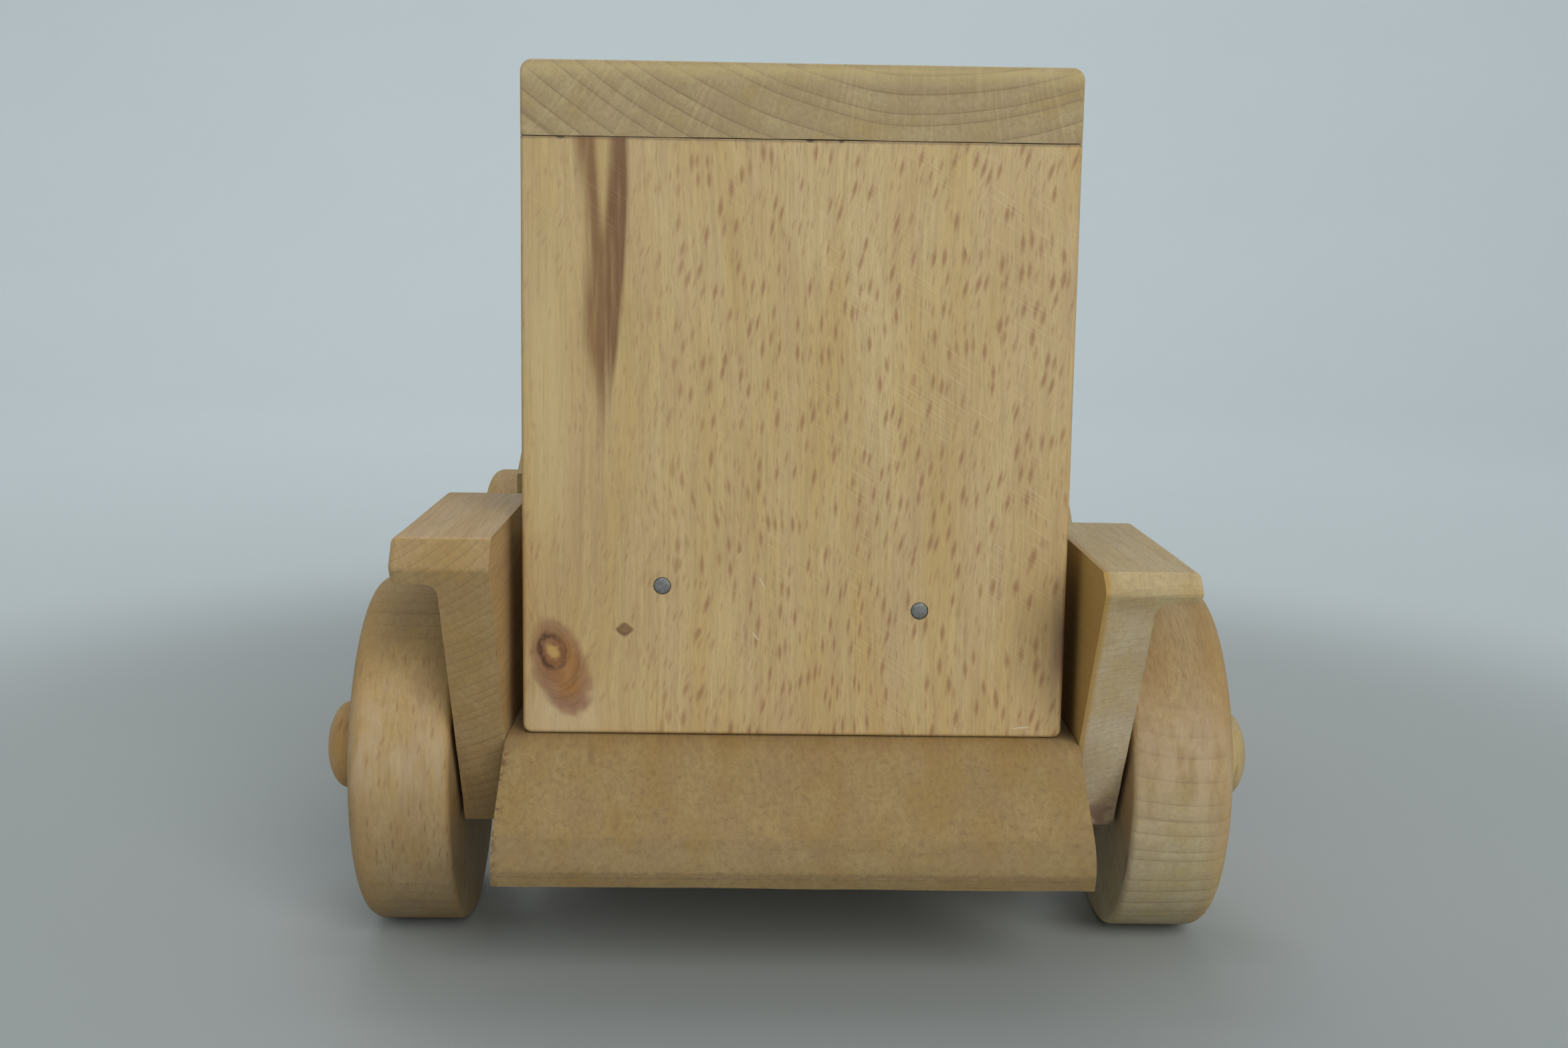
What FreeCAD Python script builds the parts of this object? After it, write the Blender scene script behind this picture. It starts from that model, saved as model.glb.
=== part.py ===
import FreeCAD, Part
import os
import Sketcher
from FreeCAD import Rotation, Vector

# A wooden toy motor car with a box body, built of glued and nailed beech pieces.
# Millimetres. +Z up, +Y forward (driving direction), +X to the car's right when looking forward.
# Origin: on the ground, at the middle of the car's length and width.

doc = FreeCAD.newDocument("toy_box_car")

# ---------------------------------------------------------------- driving dimensions
SIZES = [
    ("wheel_radius", 30.7),
    ("wheel_width", 17.2),
    ("rear_wheel_inner_x", 56.7),
    ("front_wheel_inner_x", 58.5),
    ("wheel_outer_edge", 3.0),
    ("wheel_inner_edge", 1.2),
    ("wheelbase", 164.0),
    ("axle_radius", 4.0),
    ("axle_running_gap", 0.05),
    ("axle_end_in_cap", 5.0),
    ("axle_end_chamfer", 0.5),
    ("cap_radius", 7.8),
    ("cap_skirt", 5.0),
    ("cap_dome", 3.7),
    ("cap_side_gap", 0.3),
    ("chassis_width", 95.0),
    ("chassis_thickness", 19.0),
    ("chassis_bottom", 21.0),
    ("chassis_overhang", 49.5),
    ("tail_flat", 18.4),
    ("tail_drop", 12.6),
    ("tail_bevel", 1.0),
    ("tail_bevel_height", 2.0),
    ("tail_top_radius", 14.0),
    ("tail_edge_radius", 6.5),
    ("board_width", 90.0),
    ("board_height", 97.8),
    ("board_thickness", 12.0),
    ("board_edge", 0.8),
    ("board_foot_corner", 1.5),
    ("roof_thickness", 12.0),
    ("roof_edge", 2.0),
    ("roof_end_edge", 0.6),
    ("visor", 6.0),
    ("rear_axle_ahead_of_board", 26.6),
    ("cab_length", 106.6),
    ("window_width", 62.0),
    ("window_height", 30.0),
    ("window_sill", 58.0),
    ("window_corner", 5.0),
    ("seat_width", 84.0),
    ("seat_depth", 36.0),
    ("seat_height", 32.0),
    ("seat_front_radius", 5.0),
    ("hood_width", 64.0),
    ("hood_height", 52.0),
    ("hood_shoulder_radius", 14.0),
    ("radiator_thickness", 9.0),
    ("radiator_width", 70.0),
    ("radiator_height", 57.0),
    ("radiator_corner", 15.0),
    ("lamp_radius", 9.0),
    ("lamp_rim", 4.0),
    ("lamp_brow", 2.9),
    ("lamp_brow_radius", 5.6),
    ("lamp_dome", 3.5),
    ("lamp_peg_radius", 3.0),
    ("lamp_peg_length", 7.0),
    ("lamp_spacing", 44.0),
    ("lamp_height", 36.0),
    ("nail_head_radius", 1.4),
    ("nail_head_thickness", 1.0),
    ("nail_shank_radius", 0.9),
    ("nail_length", 25.0),
    ("nail_point", 3.0),
    ("left_nail_x", 21.9),
    ("left_nail_height", 25.2),
    ("right_nail_x", 20.7),
    ("right_nail_height", 21.5),
    ("radiator_nail_x", 20.0),
    ("radiator_nail_height", 12.0),
    ("fender_width", 15.65),
    ("fender_wall_gap", 0.8),
    ("fender_foot", 22.6),
    ("fender_end_lean", 28.9),
    ("fender_end_setback", 3.4),
    ("fender_overhang", 44.2),
    ("fender_inner_fillet", 2.0),
    ("fender_edge", 1.2),
    ("fender_axle_gap", 0.3),
    ("rear_fender_top_left", 75.7),
    ("rear_fender_shelf_left", 7.3),
    ("rear_fender_band_left", 4.4),
    ("rear_fender_top_right", 71.6),
    ("rear_fender_shelf_right", 4.7),
    ("rear_fender_band_right", 2.9),
    ("rear_fender_ahead_of_axle", 10.0),
    ("front_fender_top", 75.3),
    ("front_fender_shelf", 5.2),
    ("front_fender_band", 3.4),
    ("front_fender_behind_axle", 51.5),
    ("front_fender_bevel", 18.0),
    ("front_fender_bevel_drop", 8.5),
    ("front_fender_apron", 14.0),
]
sheet = doc.addObject("Spreadsheet::Sheet", "sizes")
for row, (alias, value) in enumerate(SIZES, start=1):
    sheet.set("A%d" % row, alias)
    sheet.set("B%d" % row, str(value))
    sheet.setAlias("B%d" % row, alias)
doc.recompute()

# Places that several pieces share, as expressions on the sheet.
AXLE_Y = {"rear": "(-sizes.wheelbase / 2)", "front": "(sizes.wheelbase / 2)"}
CHASSIS_TOP = "(sizes.chassis_bottom + sizes.chassis_thickness)"
REAR_BOARD_Y = "(-sizes.wheelbase / 2 - sizes.rear_axle_ahead_of_board)"
WINDSCREEN_Y = "(%s + sizes.cab_length - sizes.board_thickness)" % REAR_BOARD_Y
HOOD_Y = "(%s + sizes.cab_length)" % REAR_BOARD_Y
RADIATOR_Y = "(-%s - sizes.radiator_thickness)" % REAR_BOARD_Y
HOOD_LENGTH = "(%s - %s)" % (RADIATOR_Y, HOOD_Y)
ROOF_UNDERSIDE = "(%s + sizes.board_height)" % CHASSIS_TOP
BORE_RADIUS = "(sizes.axle_radius + sizes.axle_running_gap)"


# ---------------------------------------------------------------- helpers
def new_body(name, x="0", y="0", z="0"):
    """A body whose own origin is placed at (x, y, z), each an expression in mm."""
    body = doc.addObject("PartDesign::Body", name)
    body.Label = name
    for axis, expression in zip("xyz", (x, y, z)):
        body.setExpression("Placement.Base." + axis, "1 mm * (%s)" % expression)
    return body


def sketch_on(body, name, plane):
    """An empty sketch on one of the body's own origin planes."""
    sketch = body.newObject("Sketcher::SketchObject", name)
    for feature in body.Origin.OriginFeatures:
        if feature.Role == plane:
            sketch.AttachmentSupport = [(feature, "")]
    sketch.MapMode = "FlatFace"
    return sketch


def pin_point(sketch, geometry, position, across, up):
    """Hold one sketch point at (across, up) from the sketch origin, by expression."""
    for kind, expression in (("DistanceX", across), ("DistanceY", up)):
        start = getattr(sketch.getPoint(geometry, position), kind[-1].lower())
        index = sketch.addConstraint(Sketcher.Constraint(kind, -1, 1, geometry, position, start))
        sketch.setExpression("Constraints[%d]" % index, "1 mm * (%s)" % expression)


def add_outline(sketch, corners):
    """A closed outline of straight edges through the corners, each an (across, up) pair."""
    count = len(corners)
    circle = Part.Circle(Vector(0, 0, 0), Vector(0, 0, 1), 10)
    spots = [circle.value(6.283185307 * i / count) for i in range(count)]
    edges = [sketch.addGeometry(Part.LineSegment(spots[i], spots[(i + 1) % count])) for i in range(count)]
    for i, edge in enumerate(edges):
        sketch.addConstraint(Sketcher.Constraint("Coincident", edge, 2, edges[(i + 1) % count], 1))
    for edge, (across, up) in zip(edges, corners):
        pin_point(sketch, edge, 1, across, up)


def add_circle(sketch, across, up, radius):
    """A circle whose centre and radius are expressions."""
    circle = sketch.addGeometry(Part.Circle(Vector(1, 1, 0), Vector(0, 0, 1), 1))
    pin_point(sketch, circle, 3, across, up)
    index = sketch.addConstraint(Sketcher.Constraint("Radius", circle, 1.0))
    sketch.setExpression("Constraints[%d]" % index, "1 mm * (%s)" % radius)


def pad(body, sketch, length, midplane=False, backward=False):
    feature = body.newObject("PartDesign::Pad", sketch.Name + "_pad")
    feature.Profile = sketch
    feature.setExpression("Length", "1 mm * (%s)" % length)
    feature.Midplane = midplane
    feature.Reversed = backward
    sketch.Visibility = False
    doc.recompute()
    return feature


def pocket(body, sketch, length=None, midplane=False, backward=False):
    """Cut the sketch out of the body: through everything, or to a length. It must remove material."""
    volume_before = body.Shape.Volume
    feature = body.newObject("PartDesign::Pocket", sketch.Name + "_pocket")
    feature.Profile = sketch
    feature.Midplane = midplane
    feature.Reversed = backward
    if length is None:
        feature.Type = "ThroughAll"
    else:
        feature.setExpression("Length", "1 mm * (%s)" % length)
    doc.recompute()
    if body.Shape.Volume > volume_before - 0.5:
        raise RuntimeError("pocket %s removed nothing" % feature.Name)
    return feature


def revolve(body, sketch, axis):
    feature = body.newObject("PartDesign::Revolution", sketch.Name + "_turned")
    feature.Profile = sketch
    feature.ReferenceAxis = (sketch, [axis])
    feature.Angle = 360
    sketch.Visibility = False
    doc.recompute()
    return feature


def edges_where(feature, test):
    """Names of the feature's edges whose middle point and starting direction pass the test."""
    names = []
    for number, edge in enumerate(feature.Shape.Edges, start=1):
        if edge.Degenerated:
            continue
        middle = edge.valueAt((edge.FirstParameter + edge.LastParameter) / 2)
        direction = edge.tangentAt(edge.FirstParameter)
        if test(middle, direction):
            names.append("Edge%d" % number)
    return names


def round_edges(body, radius, test):
    """Round every edge of the body's tip that passes the test."""
    tip = body.Tip
    names = edges_where(tip, test)
    if not names:
        raise RuntimeError("no edge to round on " + body.Name)
    feature = body.newObject("PartDesign::Fillet", body.Name + "_round")
    feature.Base = (tip, names)
    feature.setExpression("Radius", "1 mm * (%s)" % radius)
    body.Tip = feature
    doc.recompute()
    return feature


def size(alias):
    """The number in one cell, for code that picks edges."""
    return float(sheet.get(alias))


def along(direction, axis):
    """Whether a unit direction lies along X, Y or Z."""
    return abs(getattr(direction, axis)) > 0.999


def near(value, target):
    return abs(value - target) < 0.05


# ---------------------------------------------------------------- chassis
def make_chassis_board():
    """Thick board whose two ends slope down and round over; the axles are glued in its two bores."""
    body = new_body("chassis_board", z="sizes.chassis_bottom")
    side = sketch_on(body, "chassis_side", "YZ_Plane")
    end = "(sizes.wheelbase / 2 + sizes.chassis_overhang)"
    top = "sizes.chassis_thickness"
    half = [
        (end + " - sizes.tail_flat", top),
        (end, top + " - sizes.tail_drop"),
        (end, "sizes.tail_bevel_height"),
        (end + " - sizes.tail_bevel", "0"),
    ]
    mirrored = [("-(%s)" % across, up) for across, up in reversed(half)]
    add_outline(side, half + mirrored)
    pad(body, side, "sizes.chassis_width", midplane=True)
    end_y = size("wheelbase") / 2 + size("chassis_overhang")
    shoulder_y = end_y - size("tail_flat")
    brow_z = size("chassis_thickness") - size("tail_drop")
    round_edges(body, "sizes.tail_top_radius",
                lambda p, d: along(d, "x") and near(abs(p.y), shoulder_y))
    round_edges(body, "sizes.tail_edge_radius",
                lambda p, d: along(d, "x") and near(abs(p.y), end_y) and near(p.z, brow_z))
    bores = sketch_on(body, "chassis_bores", "YZ_Plane")
    for axle_y in AXLE_Y.values():
        add_circle(bores, axle_y, "sizes.wheel_radius - sizes.chassis_bottom", "sizes.axle_radius")
    pocket(body, bores, midplane=True)


# ---------------------------------------------------------------- boards of the box body
def make_upright(name, y):
    """An upright board of the box body; its own origin is at the middle of its rear foot edge."""
    body = new_body(name, y=y, z=CHASSIS_TOP)
    front = sketch_on(body, name + "_front", "XZ_Plane")
    half = "sizes.board_width / 2"
    add_outline(front, [
        ("-" + half, "0"), (half, "0"), (half, "sizes.board_height"), ("-" + half, "sizes.board_height"),
    ])
    pad(body, front, "sizes.board_thickness", backward=True)
    foot = size("board_width") / 2
    round_edges(body, "sizes.board_foot_corner",
                lambda p, d: along(d, "y") and near(abs(p.x), foot) and near(p.z, 0))
    round_edges(body, "sizes.board_edge",
                lambda p, d: along(d, "z") and near(abs(p.x), foot))
    return body


def add_nail_holes(body, places, backward=False):
    """Holes for nails driven through the body from its own XZ plane: the shanks and the head seats."""
    shanks = sketch_on(body, body.Name + "_shank_holes", "XZ_Plane")
    heads = sketch_on(body, body.Name + "_head_seats", "XZ_Plane")
    for x, z in places:
        add_circle(shanks, x, z, "sizes.nail_shank_radius")
        add_circle(heads, x, z, "sizes.nail_head_radius")
    pocket(body, shanks, backward=backward)
    pocket(body, heads, "sizes.nail_head_thickness", backward=backward)


REAR_NAILS = [
    ("-sizes.left_nail_x", "sizes.left_nail_height"),
    ("sizes.right_nail_x", "sizes.right_nail_height"),
]
RADIATOR_NAILS = [
    ("-sizes.radiator_nail_x", "sizes.radiator_nail_height"),
    ("sizes.radiator_nail_x", "sizes.radiator_nail_height"),
]


def make_rear_board():
    body = make_upright("rear_board", REAR_BOARD_Y)
    add_nail_holes(body, REAR_NAILS)


def make_windscreen_board():
    """The front wall of the cab, with one window opening."""
    body = make_upright("windscreen_board", WINDSCREEN_Y)
    window = sketch_on(body, "window", "XZ_Plane")
    half = "sizes.window_width / 2"
    top = "sizes.window_sill + sizes.window_height"
    add_outline(window, [
        ("-" + half, "sizes.window_sill"), (half, "sizes.window_sill"), (half, top), ("-" + half, top),
    ])
    pocket(body, window)
    corner_x = size("window_width") / 2
    round_edges(body, "sizes.window_corner",
                lambda p, d: along(d, "y") and near(abs(p.x), corner_x))


def make_roof_board():
    """Roof over the cab, with a short visor ahead of the windscreen board."""
    body = new_body("roof_board", y=REAR_BOARD_Y, z=ROOF_UNDERSIDE)
    plan = sketch_on(body, "roof_plan", "XY_Plane")
    half = "sizes.board_width / 2"
    length = "sizes.cab_length + sizes.visor"
    add_outline(plan, [("-" + half, "0"), (half, "0"), (half, length), ("-" + half, length)])
    pad(body, plan, "sizes.roof_thickness")
    top = size("roof_thickness")
    round_edges(body, "sizes.roof_edge", lambda p, d: along(d, "y") and near(p.z, top))
    round_edges(body, "sizes.roof_end_edge", lambda p, d: along(d, "x") and near(p.z, top))


def make_seat_block():
    """Bench that the nails of the rear board go into."""
    board = "(%s + sizes.board_thickness)" % REAR_BOARD_Y
    body = new_body("seat_block", y=board, z=CHASSIS_TOP)
    front = sketch_on(body, "seat_front", "XZ_Plane")
    half = "sizes.seat_width / 2"
    add_outline(front, [
        ("-" + half, "0"), (half, "0"), (half, "sizes.seat_height"), ("-" + half, "sizes.seat_height"),
    ])
    pad(body, front, "sizes.seat_depth", backward=True)
    depth = size("seat_depth")
    round_edges(body, "sizes.seat_front_radius",
                lambda p, d: along(d, "x") and near(p.y, depth) and near(p.z, size("seat_height")))
    holes = sketch_on(body, "seat_nail_holes", "XZ_Plane")
    for x, z in REAR_NAILS:
        add_circle(holes, x, z, "sizes.nail_shank_radius")
    pocket(body, holes, "sizes.nail_length - sizes.board_thickness")


# ---------------------------------------------------------------- front of the car
def make_hood_block():
    body = new_body("hood_block", y=HOOD_Y, z=CHASSIS_TOP)
    front = sketch_on(body, "hood_front", "XZ_Plane")
    half = "sizes.hood_width / 2"
    add_outline(front, [
        ("-" + half, "0"), (half, "0"), (half, "sizes.hood_height"), ("-" + half, "sizes.hood_height"),
    ])
    pad(body, front, HOOD_LENGTH, backward=True)
    top = size("hood_height")
    round_edges(body, "sizes.hood_shoulder_radius", lambda p, d: along(d, "y") and near(p.z, top))
    holes = sketch_on(body, "hood_nail_holes", "XZ_Plane")
    holes.setExpression("AttachmentOffset.Base.z", "-1 mm * %s" % HOOD_LENGTH)
    for x, z in RADIATOR_NAILS:
        add_circle(holes, x, z, "sizes.nail_shank_radius")
    pocket(body, holes, "sizes.nail_length - sizes.radiator_thickness", backward=True)


def make_radiator_board():
    """Upright board at the nose; its own origin is at its front foot edge, facing forward."""
    body = new_body("radiator_board", y="-" + REAR_BOARD_Y, z=CHASSIS_TOP)
    front = sketch_on(body, "radiator_front", "XZ_Plane")
    half = "sizes.radiator_width / 2"
    height = "sizes.radiator_height"
    add_outline(front, [("-" + half, "0"), (half, "0"), (half, height), ("-" + half, height)])
    pad(body, front, "sizes.radiator_thickness")
    top = size("radiator_height")
    round_edges(body, "sizes.radiator_corner", lambda p, d: along(d, "y") and near(p.z, top))
    round_edges(body, "sizes.board_edge", lambda p, d: near(p.y, 0) and p.z > 1)
    add_nail_holes(body, RADIATOR_NAILS, backward=True)
    pegs = sketch_on(body, "lamp_holes", "XZ_Plane")
    for sign in ("-", ""):
        add_circle(pegs, sign + "sizes.lamp_spacing / 2", "sizes.lamp_height", "sizes.lamp_peg_radius")
    pocket(body, pegs, "sizes.lamp_peg_length", backward=True)


def make_headlamp(name, sign):
    """A turned button: a rim, a domed front and a peg that is glued into the radiator board."""
    body = new_body(name, x=sign + "sizes.lamp_spacing / 2", y="-" + REAR_BOARD_Y,
                    z=CHASSIS_TOP + " + sizes.lamp_height")
    half = sketch_on(body, name + "_half", "XY_Plane")
    front = "sizes.lamp_rim + sizes.lamp_dome"
    add_outline(half, [
        ("0", "-sizes.lamp_peg_length"),
        ("sizes.lamp_peg_radius", "-sizes.lamp_peg_length"),
        ("sizes.lamp_peg_radius", "0"),
        ("sizes.lamp_radius", "0"),
        ("sizes.lamp_radius", "sizes.lamp_rim"),
        ("sizes.lamp_brow_radius", "sizes.lamp_rim + sizes.lamp_brow"),
        ("0", front),
    ])
    revolve(body, half, "V_Axis")
    rim = size("lamp_rim")
    shoulder = rim + size("lamp_brow")
    round_edges(body, "sizes.board_edge", lambda p, d: near(p.y, rim) or near(p.y, shoulder))


# ---------------------------------------------------------------- fenders
def make_fender(name, sign, place, top, shelf, outline, well):
    """L-section block glued to the chassis side: an inner wall and a shelf over the wheel.

    The outline and the wheel well are side views, measured forward from the axle and up from the
    fender's foot. sign is -1 on the left side and 1 on the right.
    """
    wall = "(sizes.%s_wheel_inner_x - sizes.fender_wall_gap - sizes.chassis_width / 2)" % place
    inner_x = "%d * sizes.chassis_width / 2" % sign
    body = new_body(name, x=inner_x, y=AXLE_Y[place], z="sizes.fender_foot")
    side = sketch_on(body, name + "_side", "YZ_Plane")
    add_outline(side, outline)
    pad(body, side, "sizes.fender_width", backward=sign < 0)
    well_sketch = sketch_on(body, name + "_well", "YZ_Plane")
    well_sketch.setExpression("AttachmentOffset.Base.z", "%d mm * sizes.fender_width" % sign)
    add_outline(well_sketch, well)
    pocket(body, well_sketch, "sizes.fender_width - " + wall, backward=sign < 0)
    wall_x = sign * (size(place + "_wheel_inner_x") - size("fender_wall_gap") - size("chassis_width") / 2)
    shelf_z = size(top) - size(shelf) - size("fender_foot")
    round_edges(body, "sizes.fender_inner_fillet",
                lambda p, d: along(d, "y") and near(p.x, wall_x) and near(p.z, shelf_z))
    outer_x = sign * size("fender_width")
    round_edges(body, "sizes.fender_edge",
                lambda p, d: near(p.x, outer_x) or (along(d, "x") and p.z > shelf_z + 0.1))
    bore = sketch_on(body, name + "_axle_hole", "YZ_Plane")
    loose_radius = "sizes.axle_radius + sizes.fender_axle_gap"
    add_circle(bore, "0", "sizes.wheel_radius - sizes.fender_foot", loose_radius)
    pocket(body, bore, midplane=True)


def make_rear_fender(side, sign):
    """The end behind the wheel has a short upright band and then leans forward down to the foot."""
    top, shelf, band = ("rear_fender_%s_%s" % (part, side) for part in ("top", "shelf", "band"))
    height = "(sizes.%s - sizes.fender_foot)" % top
    rear = "(-sizes.fender_overhang)"
    front = "sizes.rear_fender_ahead_of_axle"
    outline = [
        (rear, height),
        (rear + " - sizes.fender_end_setback", height + " - sizes." + band),
        (rear + " - sizes.fender_end_setback + sizes.fender_end_lean", "0"),
        (front, "0"),
        (front, height),
    ]
    ceiling = height + " - sizes." + shelf
    clear = "(sizes.wheel_radius * 3)"
    well = [("-" + clear, "-" + clear), (clear, "-" + clear), (clear, ceiling), ("-" + clear, ceiling)]
    make_fender("rear_fender_" + side, sign, "rear", top, shelf, outline, well)


def make_front_fender(side, sign):
    """A longer block: upright apron behind the wheel, and an end ahead of it like the rear one's."""
    height = "(sizes.front_fender_top - sizes.fender_foot)"
    rear = "(-sizes.front_fender_behind_axle)"
    front = "sizes.fender_overhang"
    outline = [
        (rear, "0"),
        (front + " + sizes.fender_end_setback - sizes.fender_end_lean", "0"),
        (front + " + sizes.fender_end_setback", height + " - sizes.front_fender_band"),
        (front, height),
        (rear + " + sizes.front_fender_bevel", height),
        (rear, height + " - sizes.front_fender_bevel_drop"),
    ]
    ceiling = height + " - sizes.front_fender_shelf"
    clear = "(sizes.wheel_radius * 3)"
    apron = rear + " + sizes.front_fender_apron"
    well = [(apron, "-" + clear), (clear, "-" + clear), (clear, ceiling), (apron, ceiling)]
    make_fender("front_fender_" + side, sign, "front", "front_fender_top", "front_fender_shelf",
                outline, well)


# ---------------------------------------------------------------- running gear
def wheel_outer_x(place):
    """How far out the outer faces of the rear or front wheels stand, as an expression."""
    return "(sizes.%s_wheel_inner_x + sizes.wheel_width)" % place


def make_wheel(name, sign, place):
    """A turned disc that runs freely on the axle; its outer rim is rounded more than its inner rim."""
    body = new_body(name, y=AXLE_Y[place], z="sizes.wheel_radius")
    half = sketch_on(body, name + "_half", "XY_Plane")
    inner = "%d * sizes.%s_wheel_inner_x" % (sign, place)
    outer = "%d * %s" % (sign, wheel_outer_x(place))
    tread = "sizes.wheel_radius"
    add_outline(half, [(inner, BORE_RADIUS), (outer, BORE_RADIUS), (outer, tread), (inner, tread)])
    revolve(body, half, "H_Axis")
    radius = size("wheel_radius")
    inner_x = size(place + "_wheel_inner_x")
    outer_x = inner_x + size("wheel_width")

    def on_rim(point, x):
        distance = (point.y ** 2 + point.z ** 2) ** 0.5
        return near(abs(point.x), x) and near(distance, radius)

    round_edges(body, "sizes.wheel_outer_edge", lambda p, d: on_rim(p, outer_x))
    round_edges(body, "sizes.wheel_inner_edge", lambda p, d: on_rim(p, inner_x))


def make_hub_cap(name, sign, place):
    """A domed button with a blind bore, glued on the end of the axle."""
    skirt = doc.addObject("Part::Cylinder", name + "_skirt")
    skirt.setExpression("Radius", "1 mm * sizes.cap_radius")
    skirt.setExpression("Height", "1 mm * sizes.cap_skirt")
    dome = doc.addObject("Part::Ellipsoid", name + "_dome")
    dome.setExpression("Radius1", "1 mm * sizes.cap_dome")
    dome.setExpression("Radius2", "1 mm * sizes.cap_radius")
    dome.setExpression("Radius3", "1 mm * sizes.cap_radius")
    dome.Angle1 = 0
    dome.setExpression("Placement.Base.z", "1 mm * sizes.cap_skirt")
    button = doc.addObject("Part::Fuse", name + "_button")
    button.Base = skirt
    button.Tool = dome
    bore = doc.addObject("Part::Cylinder", name + "_bore")
    bore.setExpression("Radius", "1 mm * sizes.axle_radius")
    bore.setExpression("Height", "1 mm * (sizes.axle_end_in_cap - sizes.cap_side_gap)")
    cap = doc.addObject("Part::Cut", name)
    cap.Label = name
    cap.Base = button
    cap.Tool = bore
    cap.Placement.Rotation = Rotation(Vector(0, 1, 0), 90 * sign)
    foot_x = "%s + sizes.cap_side_gap" % wheel_outer_x(place)
    cap.setExpression("Placement.Base.x", "%d mm * (%s)" % (sign, foot_x))
    cap.setExpression("Placement.Base.y", "1 mm * %s" % AXLE_Y[place])
    cap.setExpression("Placement.Base.z", "1 mm * sizes.wheel_radius")


def make_axle(name, place):
    """A dowel glued in the chassis; its chamfered ends stand out of the wheels into the caps."""
    half = "(%s + sizes.axle_end_in_cap)" % wheel_outer_x(place)
    dowel = doc.addObject("Part::Cylinder", name + "_dowel")
    dowel.setExpression("Radius", "1 mm * sizes.axle_radius")
    dowel.setExpression("Height", "2 mm * " + half)
    doc.recompute()
    axle = doc.addObject("Part::Chamfer", name)
    axle.Label = name
    axle.Base = dowel
    chamfer = size("axle_end_chamfer")
    rims = [number for number, edge in enumerate(dowel.Shape.Edges, start=1)
            if isinstance(edge.Curve, Part.Circle)]
    axle.Edges = [(number, chamfer, chamfer) for number in rims]
    axle.Placement.Rotation = Rotation(Vector(0, 1, 0), 90)
    axle.setExpression("Placement.Base.x", "-1 mm * " + half)
    axle.setExpression("Placement.Base.y", "1 mm * %s" % AXLE_Y[place])
    axle.setExpression("Placement.Base.z", "1 mm * sizes.wheel_radius")


# ---------------------------------------------------------------- nails
def make_nail(name, x, y, z, forward):
    """One flat-headed nail; forward says whether it is driven towards +Y."""
    head = doc.addObject("Part::Cylinder", name + "_head")
    head.setExpression("Radius", "1 mm * sizes.nail_head_radius")
    head.setExpression("Height", "1 mm * sizes.nail_head_thickness")
    shank = doc.addObject("Part::Cylinder", name + "_shank")
    shank.setExpression("Radius", "1 mm * sizes.nail_shank_radius")
    shank.setExpression("Height", "1 mm * (sizes.nail_length - sizes.nail_point)")
    point = doc.addObject("Part::Cone", name + "_point")
    point.setExpression("Radius1", "1 mm * sizes.nail_shank_radius")
    point.Radius2 = 0
    point.setExpression("Height", "1 mm * sizes.nail_point")
    point.setExpression("Placement.Base.z", "1 mm * (sizes.nail_length - sizes.nail_point)")
    nail = doc.addObject("Part::MultiFuse", name)
    nail.Shapes = [head, shank, point]
    nail.Placement.Rotation = Rotation(Vector(1, 0, 0), -90 if forward else 90)
    nail.setExpression("Placement.Base.x", "1 mm * (%s)" % x)
    nail.setExpression("Placement.Base.y", "1 mm * (%s)" % y)
    nail.setExpression("Placement.Base.z", "1 mm * (%s)" % z)
    return nail


def make_nail_group(name, places, y, forward):
    nails = []
    for number, (x, height) in enumerate(places, start=1):
        z = "%s + %s" % (CHASSIS_TOP, height)
        nails.append(make_nail("%s_%d" % (name, number), x, y, z, forward))
    group = doc.addObject("Part::Compound", name)
    group.Label = name
    group.Links = nails


# ---------------------------------------------------------------- the car
def make_car():
    make_chassis_board()
    make_rear_board()
    make_windscreen_board()
    make_roof_board()
    make_seat_block()
    make_hood_block()
    make_radiator_board()
    for side, sign in (("left", "-"), ("right", "")):
        make_headlamp("headlamp_" + side, sign)
    for side, sign in (("left", -1), ("right", 1)):
        make_rear_fender(side, sign)
        make_front_fender(side, sign)
    for place in AXLE_Y:
        make_axle(place + "_axle", place)
        for side, sign in (("left", -1), ("right", 1)):
            make_wheel("wheel_%s_%s" % (place, side), sign, place)
            make_hub_cap("hub_cap_%s_%s" % (place, side), sign, place)
    make_nail_group("rear_board_nails", REAR_NAILS, REAR_BOARD_Y, True)
    make_nail_group("radiator_nails", RADIATOR_NAILS, "-" + REAR_BOARD_Y, False)


make_car()
doc.recompute()

PIECES = (
    ["chassis_board", "rear_board", "windscreen_board", "roof_board", "seat_block", "hood_block"]
    + ["radiator_board", "headlamp_left", "headlamp_right", "rear_axle", "front_axle"]
    + ["%s_fender_%s" % (place, side) for place in ("rear", "front") for side in ("left", "right")]
    + ["wheel_%s_%s" % (place, side) for place in ("rear", "front") for side in ("left", "right")]
    + ["hub_cap_%s_%s" % (place, side) for place in ("rear", "front") for side in ("left", "right")]
    + ["rear_board_nails", "radiator_nails"]
)

for item in doc.Objects:
    if "Invalid" in item.State or "Error" in item.State:
        raise RuntimeError("%s is in state %s" % (item.Name, item.State))

os.makedirs("parts", exist_ok=True)
for name in PIECES:
    shape = doc.getObject(name).Shape
    if shape.isNull() or not shape.isValid():
        raise RuntimeError(name + " has no valid shape")
    shape.exportStep("parts/%s.step" % name)
    box = shape.BoundBox
    print("%-20s solids %d volume %9.1f  x %.1f..%.1f  y %.1f..%.1f  z %.1f..%.1f" % (
        name, len(shape.Solids), shape.Volume,
        box.XMin, box.XMax, box.YMin, box.YMax, box.ZMin, box.ZMax))
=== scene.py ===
import math

import bmesh
import bpy
from mathutils import Matrix, Vector, kdtree, noise


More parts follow.
